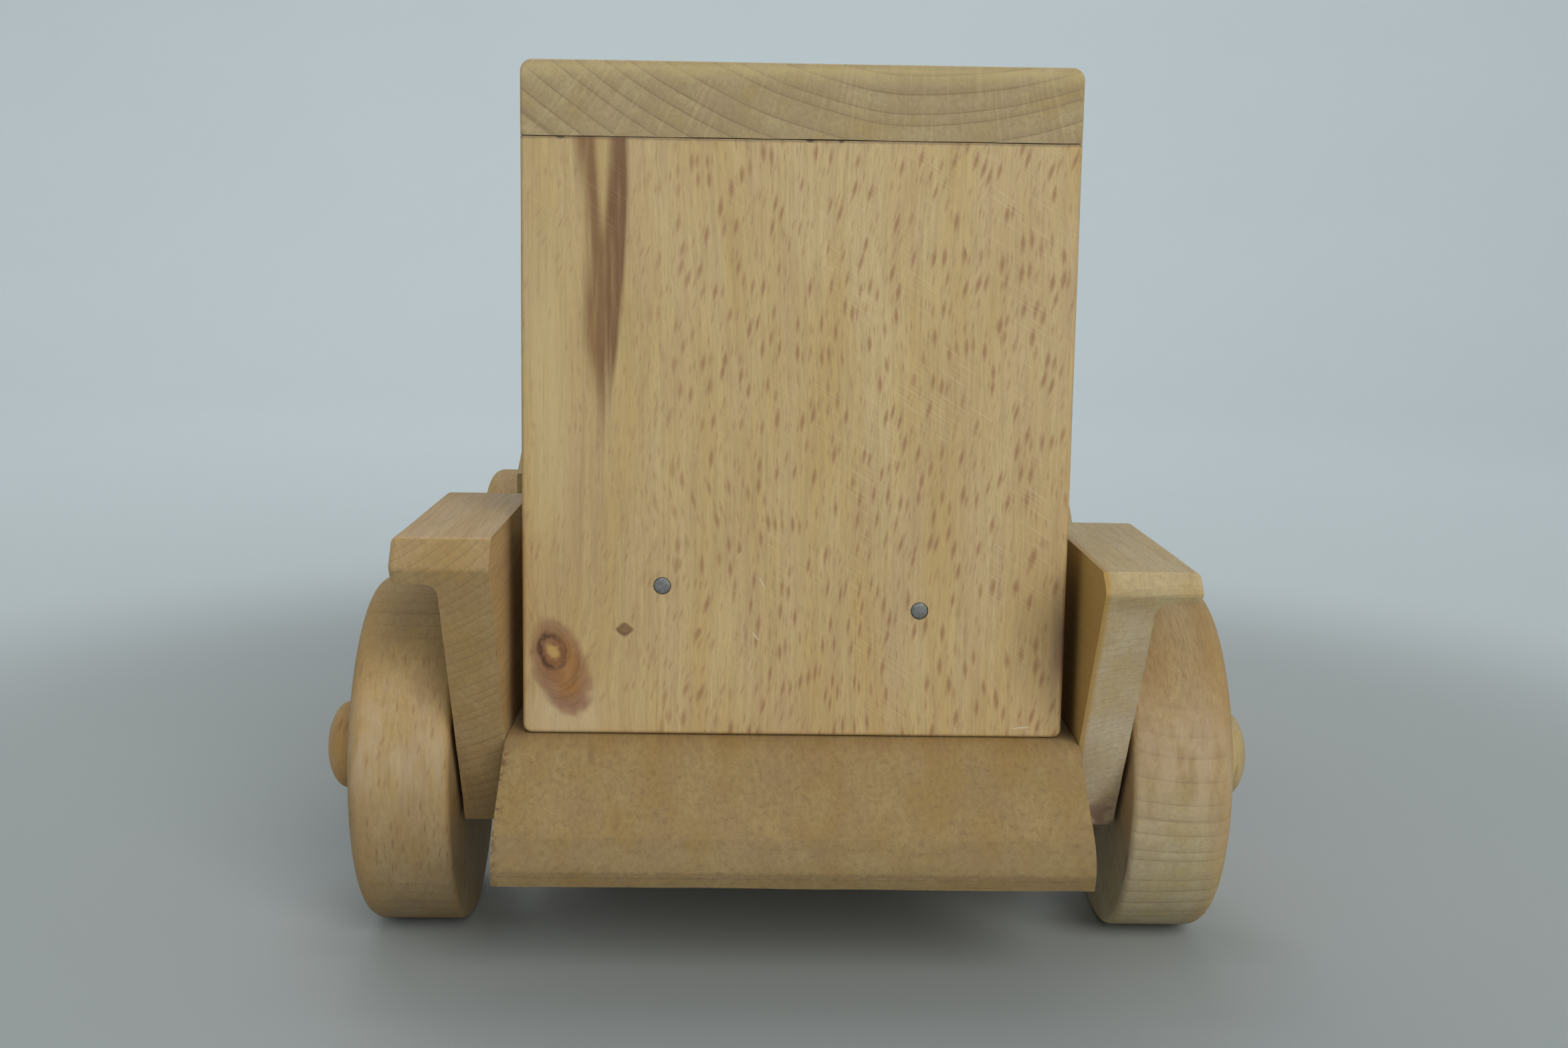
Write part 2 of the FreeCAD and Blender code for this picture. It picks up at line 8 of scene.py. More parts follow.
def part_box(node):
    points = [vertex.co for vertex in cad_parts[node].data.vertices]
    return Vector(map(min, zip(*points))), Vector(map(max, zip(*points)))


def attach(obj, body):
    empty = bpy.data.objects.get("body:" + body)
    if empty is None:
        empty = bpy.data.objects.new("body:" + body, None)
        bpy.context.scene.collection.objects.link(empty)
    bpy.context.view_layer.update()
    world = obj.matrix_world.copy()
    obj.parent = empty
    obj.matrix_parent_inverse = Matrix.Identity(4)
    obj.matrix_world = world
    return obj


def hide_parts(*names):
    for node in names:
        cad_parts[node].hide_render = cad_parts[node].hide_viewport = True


# A hand-made toy car of bare sanded beech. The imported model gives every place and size; this script
# gives each piece its finished surface, its own wood and the studio it stands in.

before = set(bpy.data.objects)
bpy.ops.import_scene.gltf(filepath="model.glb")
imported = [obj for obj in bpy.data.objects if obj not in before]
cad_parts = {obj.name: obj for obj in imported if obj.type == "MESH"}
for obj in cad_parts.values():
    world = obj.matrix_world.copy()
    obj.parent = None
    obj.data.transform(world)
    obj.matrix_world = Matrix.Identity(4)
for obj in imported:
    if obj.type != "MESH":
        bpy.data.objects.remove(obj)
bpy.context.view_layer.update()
MM = 0.001

LEFT, RIGHT = -1, 1
SIDES = {"left": LEFT, "right": RIGHT}


# ------------------------ sizes read from the frame
class Box:
    """A CAD node's box at rest, in metres."""

    def __init__(self, node):
        self.low, self.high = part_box(node)
        self.centre = (self.low + self.high) / 2
        self.size = self.high - self.low


# ------------------------ node trees
class Graph:
    """Short calls that add nodes to one node tree and join them. They return the new output socket."""

    MIX_FACTOR, MIX_A, MIX_B, MIX_RESULT = 0, 6, 7, 2

    def __init__(self, tree):
        self.tree = tree
        tree.nodes.clear()

    def node(self, kind, inputs=(), **settings):
        made = self.tree.nodes.new(kind)
        for key, value in settings.items():
            setattr(made, key, value)
        for key, value in dict(inputs).items():
            self.feed(made.inputs[key], value)
        return made

    def feed(self, socket, value):
        if isinstance(value, bpy.types.NodeSocket):
            self.tree.links.new(value, socket)
        else:
            socket.default_value = value

    def math(self, operation, first, second=0.0):
        return self.node("ShaderNodeMath", {0: first, 1: second}, operation=operation).outputs[0]

    def add(self, first, second):
        return self.math("ADD", first, second)

    def times(self, first, second):
        return self.math("MULTIPLY", first, second)

    def minus(self, first, second):
        return self.math("SUBTRACT", first, second)

    def most(self, first, second):
        return self.math("MAXIMUM", first, second)

    def flip(self, value):
        """One minus the value."""
        return self.minus(1.0, value)

    def swing(self, value, reach):
        """Turns a value between 0 and 1 into one between minus and plus half the reach."""
        return self.times(self.minus(value, 0.5), reach)

    def vector(self, operation, first, second=(0, 0, 0)):
        made = self.node("ShaderNodeVectorMath", {0: first, 1: second}, operation=operation)
        return made.outputs["Value" if operation in ("DOT_PRODUCT", "LENGTH") else "Vector"]

    def combine(self, x=0.0, y=0.0, z=0.0):
        return self.node("ShaderNodeCombineXYZ", {"X": x, "Y": y, "Z": z}).outputs[0]

    def split(self, vector):
        return self.node("ShaderNodeSeparateXYZ", {0: vector}).outputs

    def ramp(self, value, low, high, start=0.0, end=1.0):
        """Goes smoothly from start to end while the value goes from low to high."""
        inputs = {"Value": value, "From Min": low, "From Max": high, "To Min": start, "To Max": end}
        return self.node("ShaderNodeMapRange", inputs, interpolation_type="SMOOTHSTEP").outputs[0]

    def noise(self, vector, scale=1.0, detail=2.0, roughness=0.5):
        inputs = {"Vector": vector, "Scale": scale, "Detail": detail, "Roughness": roughness}
        return self.node("ShaderNodeTexNoise", inputs).outputs[0]

    def cells(self, vector):
        """Scattered lens shapes: how far the nearest one's middle lies, and a random value of its own."""
        inputs = {"Vector": vector, "Scale": 1.0, "Exponent": 1.5}
        made = self.node("ShaderNodeTexVoronoi", inputs, voronoi_dimensions="2D", distance="MINKOWSKI")
        return made.outputs["Distance"], self.split(made.outputs["Color"])[0]

    def mix(self, factor, first, second, blend="MIX"):
        made = self.node("ShaderNodeMix", data_type="RGBA", blend_type=blend)
        self.feed(made.inputs[self.MIX_FACTOR], factor)
        self.feed(made.inputs[self.MIX_A], first)
        self.feed(made.inputs[self.MIX_B], second)
        return made.outputs[self.MIX_RESULT]

    def coordinate(self, name):
        return self.node("ShaderNodeTexCoord").outputs[name]

    def millimetres(self):
        """The shaded point's place in the part's frame, in millimetres."""
        place = self.vector("SCALE", self.coordinate("Object"))
        place.node.inputs["Scale"].default_value = 1 / MM
        return place

    def shade(self, inputs):
        """Ends a material with a shader."""
        shader = self.node("ShaderNodeBsdfPrincipled", inputs)
        self.node("ShaderNodeOutputMaterial", {"Surface": shader.outputs[0]})

    def curve(self, value, points):
        """A smooth curve through (input, output) points, both between 0 and 1."""
        made = self.node("ShaderNodeFloatCurve", {"Value": value})
        line = made.mapping.curves[0]
        line.points[0].location = points[0]
        line.points[1].location = points[-1]
        for point in points[1:-1]:
            line.points.new(*point)
        made.mapping.update()
        return made.outputs[0]


def color(red, green, blue):
    return (red, green, blue, 1.0)


def new_material(name):
    """A material, and the graph of its nodes."""
    material = bpy.data.materials.new(name)
    material.use_nodes = True
    return material, Graph(material.node_tree)


def add_object(name, data):
    made = bpy.data.objects.new(name, data)
    bpy.context.scene.collection.objects.link(made)
    return made


# ------------------------ beech
PALE = color(0.640, 0.475, 0.238)
GOLDEN = color(0.575, 0.395, 0.160)
PINKISH = color(0.560, 0.393, 0.215)
LATEWOOD = color(0.400, 0.275, 0.135)
FLECK = color(0.355, 0.190, 0.088)
END_TINT = color(0.780, 0.780, 0.760)
NO_TINT = (1, 1, 1)

# What single pieces show beside their plain wood, painted light and shade among them.
AMBER = color(0.44, 0.255, 0.075)
# Painted shade: the amber of a face in shade, lit only by light bounced off the wood beside it.
AMBER_BOUNCE_SHADE = color(0.46, 0.265, 0.060)
# Painted light: the paler band along the roof's top edges.
TOP_LIGHT_PAINT = color(0.62, 0.49, 0.235)
RUBBED = color(0.56, 0.42, 0.28)
BRUISE = color(0.27, 0.155, 0.115)
DIRT = color(0.13, 0.075, 0.040)
STAIN = color(0.19, 0.095, 0.080)
GLUE = color(0.16, 0.10, 0.05)
GLUE_BEAD = color(0.06, 0.04, 0.025)
NICK = color(0.72, 0.60, 0.40)
SANDED = color(0.70, 0.56, 0.34)
PALE_FIGURE = color(0.64, 0.50, 0.25)
WEDGE = color(0.58, 0.41, 0.17)
HEART_BROWN = color(0.225, 0.114, 0.042)
HEART_DARK = color(0.172, 0.078, 0.032)
KNOT_BLEACHED = color(0.66, 0.52, 0.35)
KNOT_BROWN = color(0.27, 0.115, 0.050)
KNOT_AMBER = color(0.345, 0.150, 0.040)
KNOT_RIM = color(0.21, 0.080, 0.055)
KNOT_LINE = color(0.19, 0.088, 0.038)
KNOT_EYE = color(0.105, 0.046, 0.022)
KNOT_SPOT = color(0.62, 0.42, 0.14)
PIN_KNOT_BROWN = color(0.21, 0.105, 0.045)
PIN_KNOT_RIM = color(0.10, 0.045, 0.022)
# Painted light, above one on purpose: it lightens the wood that it is multiplied with, as light bounced up
# from the floor would.
FLOOR_BOUNCE_PAINT = color(1.20, 1.23, 1.44)

GROUP_INPUTS = [
    ("Grain", "NodeSocketVector"), ("Radius", "NodeSocketFloat"), ("Endness", "NodeSocketFloat"),
    ("Ring Width", "NodeSocketFloat"), ("Rings", "NodeSocketFloat"), ("Flecks", "NodeSocketFloat"),
    ("Dashes", "NodeSocketFloat"), ("End Shade", "NodeSocketFloat"), ("Wear", "NodeSocketFloat"),
]
GROUP_OUTPUTS = [
    ("Color", "NodeSocketColor"), ("Height", "NodeSocketFloat"), ("Roughness", "NodeSocketFloat"),
]


def place_in_log(g, given):
    """A point's x and y across the log and its place along it, then its way out from the pith and around it.

    The log is never quite round, and its fibres wander a little.
    """
    x, y, along = g.split(given["Grain"])
    slow = g.combine(g.times(x, 0.024), g.times(y, 0.024), g.times(along, 0.011))
    other = g.vector("ADD", slow, (7.3, 2.9, 5.1))
    x = g.add(x, g.swing(g.noise(slow, detail=1.0), 7.0))
    y = g.add(y, g.swing(g.noise(other, detail=1.0), 7.0))
    out = g.math("SQRT", g.add(g.times(x, x), g.times(y, y)))
    around = g.times(g.math("ARCTAN2", y, x), given["Radius"])
    return x, y, along, out, around


def growth_rings(g, given, out):
    """A slow darkening, then a fine line, then pale wood again."""
    turn = g.math("DIVIDE", out, given["Ring Width"])
    uneven = g.noise(g.combine(g.times(turn, 0.8), 0.0, 0.0), detail=0.0)
    turn = g.add(turn, g.times(uneven, 1.3))
    within = g.math("FRACT", turn)
    shade = g.ramp(within, 0.25, 0.93)
    line = g.times(g.ramp(within, 0.84, 0.955), g.ramp(within, 0.965, 1.0, 1.0, 0.0))
    return g.add(g.times(shade, 0.36), g.times(line, 0.7))


def ray_flecks(g, given, x, y, along, around):
    """Rays are flat plates that stand radially, so they show as short spindles on a flat-sawn face."""
    lean_place = g.combine(g.times(x, 0.035), g.times(y, 0.035), g.times(along, 0.030))
    lean = g.swing(g.noise(lean_place, detail=1.0), 9.0)
    leaning = g.minus(g.add(around, lean), g.times(along, 0.10))
    distance, chance = g.cells(g.combine(g.times(leaning, 0.76), g.times(along, 0.165)))
    size = g.add(0.16, g.times(chance, 0.16))
    spindle = g.ramp(distance, g.times(size, 0.15), g.times(size, 1.35), 1.0, 0.0)
    crowding = g.noise(g.combine(g.times(leaning, 0.11), g.times(along, 0.035), 0.0), detail=1.0)
    shown = g.add(chance, g.swing(crowding, 0.7))
    spindle = g.times(spindle, g.ramp(shown, 0.08, 0.82, 0.0, 0.95))
    dash_distance, dash_chance = g.cells(g.combine(g.times(leaning, 1.60), g.times(along, 0.23)))
    dash = g.times(g.ramp(dash_distance, 0.06, 0.34, 1.0, 0.0), g.ramp(dash_chance, 0.25, 0.95, 0.0, 0.7))
    rays = g.most(g.times(spindle, given["Flecks"]), g.times(dash, given["Dashes"]))
    return g.times(rays, g.flip(given["Endness"]))


def end_grain(g, given, wood, x, y, along, out, around):
    """End grain drinks light: it is darker and greyer, with pale radial ray lines and dark pores."""
    ray_line = g.noise(g.combine(g.times(around, 1.7), g.times(out, 0.05), g.times(along, 0.02)), detail=2.0)
    pale_ray = g.times(g.ramp(ray_line, 0.50, 0.72), g.times(given["Rings"], 0.24))
    end_wood = g.mix(1.0, wood, END_TINT, "MULTIPLY")
    end_wood = g.mix(pale_ray, end_wood, PALE)
    pore_distance, pore_chance = g.cells(g.combine(g.times(x, 2.1), g.times(y, 2.1)))
    pores = g.times(g.ramp(pore_distance, 0.08, 0.34, 1.0, 0.0), g.times(pore_chance, 0.5))
    return g.mix(pores, end_wood, LATEWOOD), pores


def make_beech_group():
    """Solid beech. Grain is in millimetres: x and y across the log from its pith, z along the grain.

    Radius is how far the piece lies from the pith, Endness is 1 where end grain shows. Flecks and
    Dashes are the strengths of the large rays and of the fine ones.
    """
    tree = bpy.data.node_groups.new("solid_beech", "ShaderNodeTree")
    for name, kind in GROUP_INPUTS:
        tree.interface.new_socket(name, in_out="INPUT", socket_type=kind)
    for name, kind in GROUP_OUTPUTS:
        tree.interface.new_socket(name, in_out="OUTPUT", socket_type=kind)
    g = Graph(tree)
    given = g.node("NodeGroupInput").outputs
    x, y, along, out, around = place_in_log(g, given)
    ring = growth_rings(g, given, out)
    ring_strength = g.times(given["Rings"], g.add(0.15, g.times(given["Endness"], 1.05)))
    flecks = ray_flecks(g, given, x, y, along, around)

    # Fibres: long streaks with fine hairs between them, in wood that varies slowly from place to place.
    fibre_place = g.combine(g.times(x, 1.3), g.times(y, 1.3), g.times(along, 0.05))
    fibre = g.noise(fibre_place, detail=3.0, roughness=0.6)
    hair_place = g.combine(g.times(x, 5.5), g.times(y, 5.5), g.times(along, 0.45))
    hair = g.noise(hair_place, detail=2.0, roughness=0.6)
    broad_place = g.combine(g.times(x, 0.16), g.times(y, 0.16), g.times(along, 0.022))
    broad = g.noise(broad_place, detail=2.0)
    blotch = g.noise(g.vector("ADD", broad_place, (3.1, 8.7, 1.9)), detail=3.0)

    wood = g.mix(g.ramp(broad, 0.32, 0.68), PALE, GOLDEN)
    wood = g.mix(g.times(g.ramp(blotch, 0.42, 0.72), 0.7), wood, PINKISH)
    wood = g.mix(g.ramp(fibre, 0.35, 0.72, 0.0, 0.46), wood, LATEWOOD)
    wood = g.mix(g.ramp(hair, 0.42, 0.72, 0.0, 0.44), wood, LATEWOOD)
    wood = g.mix(g.math("MINIMUM", g.times(ring, ring_strength), 1.0), wood, LATEWOOD)
    wood = g.mix(flecks, wood, FLECK)
    end_wood, pores = end_grain(g, given, wood, x, y, along, out, around)
    wood = g.mix(g.times(given["Endness"], given["End Shade"]), wood, end_wood)

    # Handled edges are burnished a little darker and smoother.
    grime = g.noise(g.vector("MULTIPLY", given["Grain"], (0.35, 0.35, 0.2)), detail=3.0)
    handled = g.times(given["Wear"], g.ramp(grime, 0.35, 0.7))
    wood = g.mix(g.times(handled, 0.35), wood, LATEWOOD)

    height = g.swing(fibre, 0.030)
    height = g.add(height, g.swing(hair, 0.026))
    height = g.add(height, g.times(flecks, 0.012))
    height = g.minus(height, g.times(g.times(ring, given["Endness"]), 0.022))
    height = g.minus(height, g.times(g.times(pores, given["Endness"]), 0.03))
    rough = g.add(0.56, g.swing(fibre, 0.22))
    rough = g.minus(rough, g.times(flecks, 0.10))
    rough = g.add(rough, g.times(given["Endness"], 0.14))
    rough = g.minus(rough, g.times(handled, 0.10))

    result = g.node("NodeGroupOutput")
    g.feed(result.inputs["Color"], wood)
    g.feed(result.inputs["Height"], height)
    g.feed(result.inputs["Roughness"], rough)
    return tree


beech_group = make_beech_group()


class Wood:
    """How one piece was sawn from its log, in the part's frame.

    along is the grain direction, pith a point that the log's centre line passes through, in metres.
    The tint may change to top_tint towards the top of the piece; on some pieces the two tints paint light
    and shade.
    """

    def __init__(self, along, pith, ring=2.8, rings=0.5, flecks=0.7, dashes=0.5, end_shade=1.0,
                 tint=NO_TINT, top_tint=None):
        self.along = Vector(along).normalized()
        self.pith = Vector(pith)
        self.ring = ring
        self.rings = rings
        self.flecks = flecks
        self.dashes = dashes
        self.end_shade = end_shade
        self.tint = tint
        self.top_tint = top_tint or tint


class Surface:
    """What the marks of a piece may change in its material: grain, flecks, color and height."""

    def __init__(self, g, place, grain, endness, flecks):
        self.g = g
        self.place = place
        self.grain = grain
        self.endness = endness
        self.flecks = flecks
        self.color = None
        self.height = None

    def blend(self, amount, color, blend="MIX"):
        self.color = self.g.mix(amount, self.color, color, blend)

    def dent(self, depth):
        """Lowers the surface, in millimetres."""
        self.height = self.g.minus(self.height, depth)


class Marks:
    """What a piece shows beside its plain wood. This one adds nothing."""

    def bend_grain(self, surface):
        """May change the surface's grain and flecks."""

    def paint(self, surface):
        """May change the surface's color and height."""


def beech_material(name, box, wood, marks=Marks()):
    """A beech material for the piece in the box, with the piece's own marks."""
    material, g = new_material(name)
    place = g.millimetres()
    outward = box.centre - wood.pith
    outward -= outward.dot(wood.along) * wood.along
    radius = outward.length / MM
    across = outward.normalized()
    through = wood.along.cross(across)
    from_pith = g.vector("SUBTRACT", place, tuple(wood.pith / MM))
    grain = [g.vector("DOT_PRODUCT", from_pith, tuple(axis)) for axis in (across, through, wood.along)]
    facing = g.vector("DOT_PRODUCT", g.coordinate("Normal"), tuple(wood.along))
    endness = g.ramp(g.math("ABSOLUTE", facing), 0.45, 0.85)
    wear = g.node("ShaderNodeAttribute", attribute_name="edge_wear").outputs["Fac"]

    surface = Surface(g, place, grain, endness, wood.flecks)
    marks.bend_grain(surface)
    beech = g.node("ShaderNodeGroup", node_tree=beech_group)
    settings = {
        "Grain": g.combine(*surface.grain), "Radius": radius, "Endness": endness,
        "Ring Width": wood.ring, "Rings": wood.rings, "Flecks": surface.flecks,
        "Dashes": wood.dashes, "End Shade": wood.end_shade, "Wear": wear,
    }
    for key, value in settings.items():
        g.feed(beech.inputs[key], value)
    # On some pieces these tints are painted light and shade: a lower or upper part made lighter or darker as
    # it would be lit.
    middle, quarter = box.centre.z / MM, box.size.z / 4 / MM
    level = g.ramp(g.split(place)[2], middle - quarter, middle + quarter)
    tint = g.mix(level, color(*wood.tint), color(*wood.top_tint))
    surface.color = g.mix(1.0, beech.outputs["Color"], tint, "MULTIPLY")
    surface.height = beech.outputs["Height"]
    marks.paint(surface)
    bump = g.node("ShaderNodeBump", {"Height": surface.height, "Distance": MM, "Strength": 1.0})
    g.shade({
        "Base Color": surface.color, "Roughness": beech.outputs["Roughness"],
        "Normal": bump.outputs[0], "Specular IOR Level": 0.35,
    })
    return material


# ------------------------ the rear board's own marks
class RearBoardMarks(Marks):
    """The brown heart streak, two knots, the stain and the scratches of the rear board.

    Places are in millimetres: across from the board's middle, up from its foot.
    """

    KNOT = (-38.6, 11.4)
    KNOT_BLEACH = (-37.5, 3.5)
    PIN_KNOT = (-28.1, 17.8)
    PATCH = (-40.5, 58.0)
    SANDING_SLOPE = 0.62
    STREAK_START, STREAK_REACH = -47.0, 20.0
    WEDGE_X = -31.8
    # The streak's edges, as (height, place) in shares of the board's height and of the streak's reach.
    STREAK_LEFT = [(0, 0.69), (0.50, 0.70), (0.59, 0.665), (0.70, 0.610), (0.85, 0.635), (1, 0.53)]
    STREAK_RIGHT = [(0, 0.79), (0.50, 0.79), (0.59, 0.840), (0.70, 0.905), (0.85, 0.960), (1, 0.955)]

    # Each nick's centre, half width, half height and lean.
    NICKS = [((38.2, 1.9), 1.6, 0.22, 0.1), ((-5.4, 26.0), 0.18, 1.1, 0.5), ((-6.4, 17.0), 0.2, 1.0, 0.6)]
    # Each glue bead's place across the board and half its width.
    BEADS = [(-38.5, 0.9), (1.3, 0.8), (6.3, 0.55)]

    def __init__(self, box):
        self.origin = Vector((box.centre.x, box.low.y, box.low.z)) / MM
        self.height = box.size.z / MM

    def plane(self, surface):
        g = surface.g
        local = g.vector("SUBTRACT", surface.place, tuple(self.origin))
        x, _, z = g.split(local)
        return x, z

    def oval(self, g, x, z, centre, half_across, half_up, lean):
        """Distance from the centre in units of a leaning oval: 1 on its outline."""
        away_x = g.minus(x, centre[0])
        away_z = g.minus(z, centre[1])
        cos, sin = math.cos(lean), math.sin(lean)
        right = g.add(g.times(away_x, cos), g.times(away_z, sin))
        up = g.minus(g.times(away_z, cos), g.times(away_x, sin))
        right = g.math("DIVIDE", right, half_across)
        up = g.math("DIVIDE", up, half_up)
        return g.math("SQRT", g.add(g.times(right, right), g.times(up, up)))

    def bend_grain(self, surface):
        """The fibres part around the knots, and the ray flecks are scarce on the left."""
        g = surface.g
        x, z = self.plane(surface)
        for centre, reach, push in ((self.KNOT, 17.0, 5.0), (self.PIN_KNOT, 6.0, 1.6)):
            away = g.minus(x, centre[0])
            near = self.oval(g, x, z, centre, reach * 0.6, reach, 0.3)
            strength = g.ramp(near, 0.0, 1.0, push, 0.0)
            shift = g.times(g.math("TANH", g.times(away, 0.25)), strength)
            surface.grain[1] = g.add(surface.grain[1], shift)
        surface.flecks = g.ramp(x, -32.0, -12.0, 0.10, 0.95)

    def paint(self, surface):
        g = surface.g
        x, z = self.plane(surface)
        fibre = g.noise(g.combine(g.times(x, 1.1), 0.0, g.times(z, 0.06)), detail=3.0)
        waver = g.swing(fibre, 2.2)
        self.paint_left_figure(surface, x, z)
        self.paint_streak(surface, x, z, waver, fibre)
        self.paint_knot(surface, x, z)
        self.paint_pin_knot(surface, x, z)
        self.paint_stain(surface, x, z, waver)
        self.paint_sanding(surface, x, z)
        self.paint_scratches(surface, x, z)
        self.paint_joint(surface, x, z)

    def paint_left_figure(self, surface, x, z):
        """Near the left edge the wood is paler, with long fine brown lines, and painted shade darkens the
        board a little towards the left.
        """
        g = surface.g
        patch = g.ramp(self.oval(g, x, z, self.PATCH, 4.5, 34.0, 0.03), 0.3, 1.1, 0.45, 0.0)
        surface.blend(patch, PALE_FIGURE)
        # Painted shade: the board is made a little darker towards its left side.
        surface.blend(g.ramp(x, -40.0, -14.0, 0.11, 0.0), LATEWOOD)
        lines = g.noise(g.combine(g.times(x, 2.4), 5.0, g.times(z, 0.045)), detail=2.0)
        strength = g.ramp(x, -28.0, -2.0, 0.42, 0.0)
        surface.blend(g.times(g.ramp(lines, 0.54, 0.70), strength), LATEWOOD)

    def paint_streak(self, surface, x, z, waver, fibre):
        """Two brown bands at the top that join and fade out half way down."""
        g = surface.g
        level = g.math("DIVIDE", z, self.height)
        from_start = g.minus(x, self.STREAK_START)
        left_edge = g.times(g.curve(level, self.STREAK_LEFT), self.STREAK_REACH)
        right_edge = g.times(g.curve(level, self.STREAK_RIGHT), self.STREAK_REACH)
        from_left = g.add(g.minus(from_start, left_edge), g.times(waver, 0.6))
        from_right = g.add(g.minus(right_edge, from_start), g.times(waver, 0.35))
        band = g.times(g.ramp(from_left, -1.2, 1.6), g.ramp(from_right, -0.45, 0.6))
        ragged = g.add(level, g.swing(fibre, 0.16))
        fade = g.add(g.ramp(ragged, 0.52, 0.66, 0.0, 0.70), g.ramp(ragged, 0.34, 0.58, 0.0, 0.30))
        wedge_half = g.ramp(level, 0.82, 1.0, 0.0, 0.95)
        wedge_away = g.math("ABSOLUTE", g.minus(x, self.WEDGE_X))
        wedge_depth = g.ramp(g.minus(wedge_half, wedge_away), -0.8, 0.55)
        wedge = g.times(wedge_depth, g.ramp(level, 0.80, 0.90, 0.0, 0.85))
        streak = g.times(g.times(band, fade), g.flip(wedge))
        streak = g.times(streak, g.ramp(fibre, 0.25, 0.6, 0.68, 1.0))
        brown = g.mix(g.ramp(x, -34.0, -29.5), HEART_BROWN, HEART_DARK)
        surface.blend(g.times(streak, 0.93), brown)
        surface.blend(g.times(wedge, 0.30), WEDGE)

    def paint_knot(self, surface, x, z):
        """A leaning oval knot: a reddish halo, fine rings, a dark eye with a pale spot in it."""
        g = surface.g
        rough_edge = g.noise(g.combine(g.times(x, 0.5), 0.0, g.times(z, 0.5)), detail=3.0)
        ripple = g.swing(rough_edge, 0.35)
        halo_at = g.add(self.oval(g, x, z, self.KNOT, 4.6, 8.6, 0.33), ripple)
        eye_centre = (self.KNOT[0] - 1.4, self.KNOT[1] + 2.6)
        eye_at = g.add(self.oval(g, x, z, eye_centre, 2.2, 3.1, 0.3), ripple)
        halo = g.ramp(halo_at, 0.45, 1.12, 1.0, 0.0)
        lightening = g.ramp(self.oval(g, x, z, self.KNOT_BLEACH, 8.5, 8.0, 0.0), 0.3, 1.1, 0.34, 0.0)
        surface.blend(lightening, KNOT_BLEACHED)
        brown = g.mix(g.ramp(x, -42.0, -36.5), KNOT_BROWN, KNOT_AMBER)
        cloud = g.noise(g.combine(g.times(x, 0.33), 4.0, g.times(z, 0.33)), detail=3.0)
        halo = g.times(halo, g.ramp(cloud, 0.30, 0.58, 0.76, 0.95))
        surface.blend(halo, brown)
        rim = g.times(g.ramp(halo_at, 0.48, 0.80), g.ramp(halo_at, 0.84, 1.12, 1.0, 0.0))
        low_side = g.ramp(z, self.KNOT[1] - 7.5, self.KNOT[1] + 1.0, 0.62, 0.34)
        surface.blend(g.times(rim, low_side), KNOT_RIM)
        swirl_place = g.combine(g.times(eye_at, 4.6), g.times(x, 0.12), g.times(z, 0.12))
        swirl = g.noise(swirl_place, detail=4.0, roughness=0.75)
        fine = g.times(g.ramp(swirl, 0.46, 0.66), g.ramp(halo_at, 0.6, 1.05, 1.0, 0.0))
        surface.blend(g.times(fine, 0.55), KNOT_LINE)
        gaps = g.noise(g.combine(g.times(x, 0.9), 3.0, g.times(z, 0.9)), detail=2.0)
        eye = g.times(g.ramp(eye_at, 0.55, 0.85), g.ramp(eye_at, 0.92, 1.20, 1.0, 0.0))
        eye = g.times(g.times(eye, g.ramp(gaps, 0.34, 0.52, 0.45, 1.0)), g.ramp(x, -41.5, -37.5, 1.0, 0.50))
        surface.blend(eye, KNOT_EYE)
        jagged = g.swing(gaps, 0.9)
        spot_at = g.add(self.oval(g, x, z, (eye_centre[0] + 0.1, eye_centre[1]), 1.15, 1.9, 0.6), jagged)
        spot = g.ramp(spot_at, 0.40, 1.05, 1.0, 0.0)
        surface.blend(g.times(spot, 0.72), KNOT_SPOT)
        surface.dent(g.times(eye, 0.05))
        surface.dent(g.times(fine, 0.02))

    def paint_pin_knot(self, surface, x, z):
        """A small dark lozenge where a twig began."""
        g = surface.g
        ripple = g.swing(g.noise(g.combine(x, 0.0, z), detail=2.0), 0.7)
        across = g.math("ABSOLUTE", g.minus(x, self.PIN_KNOT[0]))
        up = g.math("ABSOLUTE", g.minus(z, self.PIN_KNOT[1]))
        lozenge = g.add(g.times(across, 0.36), g.times(up, 0.46))
        at = g.add(lozenge, g.times(self.oval(g, x, z, self.PIN_KNOT, 1.45, 1.15, 0.2), 0.5))
        at = g.add(at, ripple)
        rim = g.times(g.ramp(at, 0.45, 0.85), g.ramp(at, 0.85, 1.25, 1.0, 0.0))
        inside = g.ramp(at, 0.6, 1.20, 1.0, 0.0)
        surface.blend(g.times(inside, 0.85), PIN_KNOT_BROWN)
        surface.blend(g.times(rim, 0.45), PIN_KNOT_RIM)
        surface.dent(g.times(rim, 0.06))

    def paint_stain(self, surface, x, z, waver):
        """A purplish stain low on the right edge."""
        g = surface.g
        near_edge = g.ramp(g.add(x, g.times(waver, 0.6)), 41.5, 45.5)
        level = g.times(g.ramp(z, 8.0, 14.0), g.ramp(z, 17.0, 26.0, 1.0, 0.0))
        stain = g.times(near_edge, level)
        surface.blend(g.times(stain, 0.72), STAIN)

    def paint_sanding(self, surface, x, z):
        """Faint slanting lines, on the right most of all, where the face was sanded across the grain."""
        g = surface.g
        down = g.add(g.times(x, self.SANDING_SLOPE), z)
        lines = g.noise(g.combine(g.times(x, 0.14), 9.0, g.times(down, 2.6)), detail=2.0)
        patches = g.noise(g.combine(g.times(x, 0.06), 2.0, g.times(z, 0.05)), detail=1.0)
        strength = g.times(g.ramp(x, -25.0, 25.0, 0.25, 1.0), g.ramp(patches, 0.38, 0.60))
        pale = g.times(g.ramp(lines, 0.52, 0.68, 0.0, 0.26), strength)
        surface.blend(pale, SANDED)
        surface.dent(g.times(pale, 0.05))

